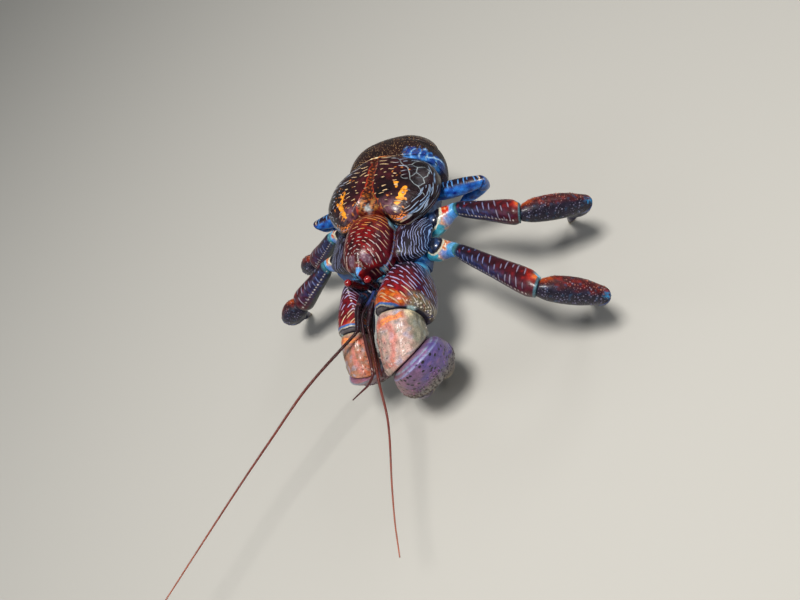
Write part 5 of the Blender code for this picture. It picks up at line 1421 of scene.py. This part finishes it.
# thin soft cuticle full of blue pigment: vivid and even under a fine gloss
REAR_LEG_SHELL = cuticle("vivid_blue_cuticle", 0.36, 0.2, row_spacing=4.6, sway=0.3, mottle=0.4)
for name, sign, swing in (("left", 1, 5.0), ("right", -1, -6.0)):
    arm = stations([(0, 8.2, 7.6), (0.2, 9.4, 8.4), (0.6, 9.0, 8.0), (1, 6.4, 6.0)])
    wrist = stations([(0, 6.0, 5.8), (0.5, 7.4, 6.8), (1, 5.0, 4.8)])
    hand = stations([(0, 4.8, 4.4), (0.3, 6.6, 5.2), (0.6, 6.2, 4.6), (1, 1.2, 1.0)])
    parts = [(45, swing, -3, arm, 90, 90), (19, 110, -62, wrist, 70, 36), (33, 196, -14, hand, 80, 60)]
    parts = [(length, azimuth if sign > 0 else 180 - azimuth, *rest, 2, (0.0 if rest[1] is arm else 0.8, 0.8))
             for length, azimuth, *rest in parts]
    tubes, _ = chain((sign * LEG_ROOT_X, 26.0, COXA_Z - 5.0), (sign, 0, 0), parts)
    for part, node in zip(tubes, ("arm", "carpus", "hand")):
        p, s = part.rings, part.s
        turn = facing(part, sign > 0)
        upper = step(66, 40, apart(turn, 110)) if node == "arm" else 0.0 * s
        tint = paint(
            "0c3488", ("2c78d0", clouds(p, 6, 130)),
            ("140e28", upper * step(0.08, 0.2, s)),
            ("30101c", upper * step(0.4, 0.6, s) * patches(p, 7, 131, 0, 0.5)))
        if node == "arm":
            tint = paint(
                tint, ("e8ccb0", step(0.02, 0.008, np.abs(s - 0.90)) * upper),
                ("102058", step(0.95, 0.97, s)))
        rows = (turn / 360 * 5 + 10, (part.s_mm + 4 * np.sin(np.radians(turn))) / 4.6 + 10, 0.13, 1.4)
        piece = skin(f"leg4_{name}_{node}_shell", p, REAR_LEG_SHELL, tint, "5c9ce4", 0.8 * upper, rows)
        settle(piece, "joint_membrane", f"leg4_{name}_{node}")

# Studio. A sheet of pale paper under the crab, three broad soft lamps and a little even light from the air,
# and the camera above the crab's left front, rolled to one side.

floor_mesh = bpy.data.meshes.new("studio_floor")
reach = 6.0
floor_mesh.from_pydata([(-reach, -reach, 0), (reach, -reach, 0), (reach, reach, 0), (-reach, reach, 0)], [],
                       [(0, 1, 2, 3)])
floor = put("studio_floor", floor_mesh)
# uncoated paper: matt, with no highlight of its own
paper, *_ = blank_material("matt_backdrop_paper", {"Base Color": (*linear("bdbab3"), 1.0), "Roughness": 0.9})
floor_mesh.materials.append(paper)

world = bpy.data.worlds.new("studio_air")
world.use_nodes = True
world.node_tree.nodes["Background"].inputs["Color"].default_value = (*linear("f3f9ff"), 1.0)
world.node_tree.nodes["Background"].inputs["Strength"].default_value = 0.18
bpy.context.scene.world = world

CAMERA_PLACE = np.array([365.5, -449.8, 629.8])
AIM_AZIMUTH, AIM_HEIGHT, ROLL = math.radians(43.8), math.radians(46.6), math.radians(-44.1)
back = np.array([math.sin(AIM_AZIMUTH) * math.cos(AIM_HEIGHT), -math.cos(AIM_AZIMUTH) * math.cos(AIM_HEIGHT),
                 math.sin(AIM_HEIGHT)])
right = np.array([math.cos(AIM_AZIMUTH), math.sin(AIM_AZIMUTH), 0.0])
up = np.cross(back, right)
rolled_right = right * math.cos(ROLL) + up * math.sin(ROLL)
rolled_up = up * math.cos(ROLL) - right * math.sin(ROLL)
camera_data = bpy.data.cameras.new("camera")
camera_data.lens = 35.0
camera_data.sensor_width = 36.0
camera_data.clip_start = 0.01
camera = put("camera", camera_data)
place = CAMERA_PLACE * MM + ORIGIN
camera.matrix_world = Matrix([[rolled_right[i], rolled_up[i], back[i], place[i]] for i in range(3)]
                             + [[0, 0, 0, 1]])
bpy.context.scene.camera = camera

# lamps as (name, place from the crab's middle in m, side in m, watts, colour)
centre = Vector(ORIGIN.tolist()) + Vector((0, -0.02, 0.1))
LIGHTS = [("key_panel", (0.45, -0.55, 1.7), 0.36, 38.0, "fffdf9"),
          ("fill_panel", (-1.6, -0.8, 1.2), 1.2, 6.0, "f8fcff"),
          ("rim_panel", (1.2, 1.5, 1.4), 0.8, 7.0, "fcfdff")]
for name, offset, size, power, tone in LIGHTS:
    lamp = bpy.data.lights.new(name, "AREA")
    lamp.size = size
    lamp.energy = power
    lamp.color = linear(tone)
    holder = put(name, lamp)
    holder.location = centre + Vector(offset)
    holder.rotation_mode = "QUATERNION"
    holder.rotation_quaternion = (centre - holder.location).to_track_quat("-Z", "Y")
bpy.context.scene.view_settings.view_transform = "Standard"
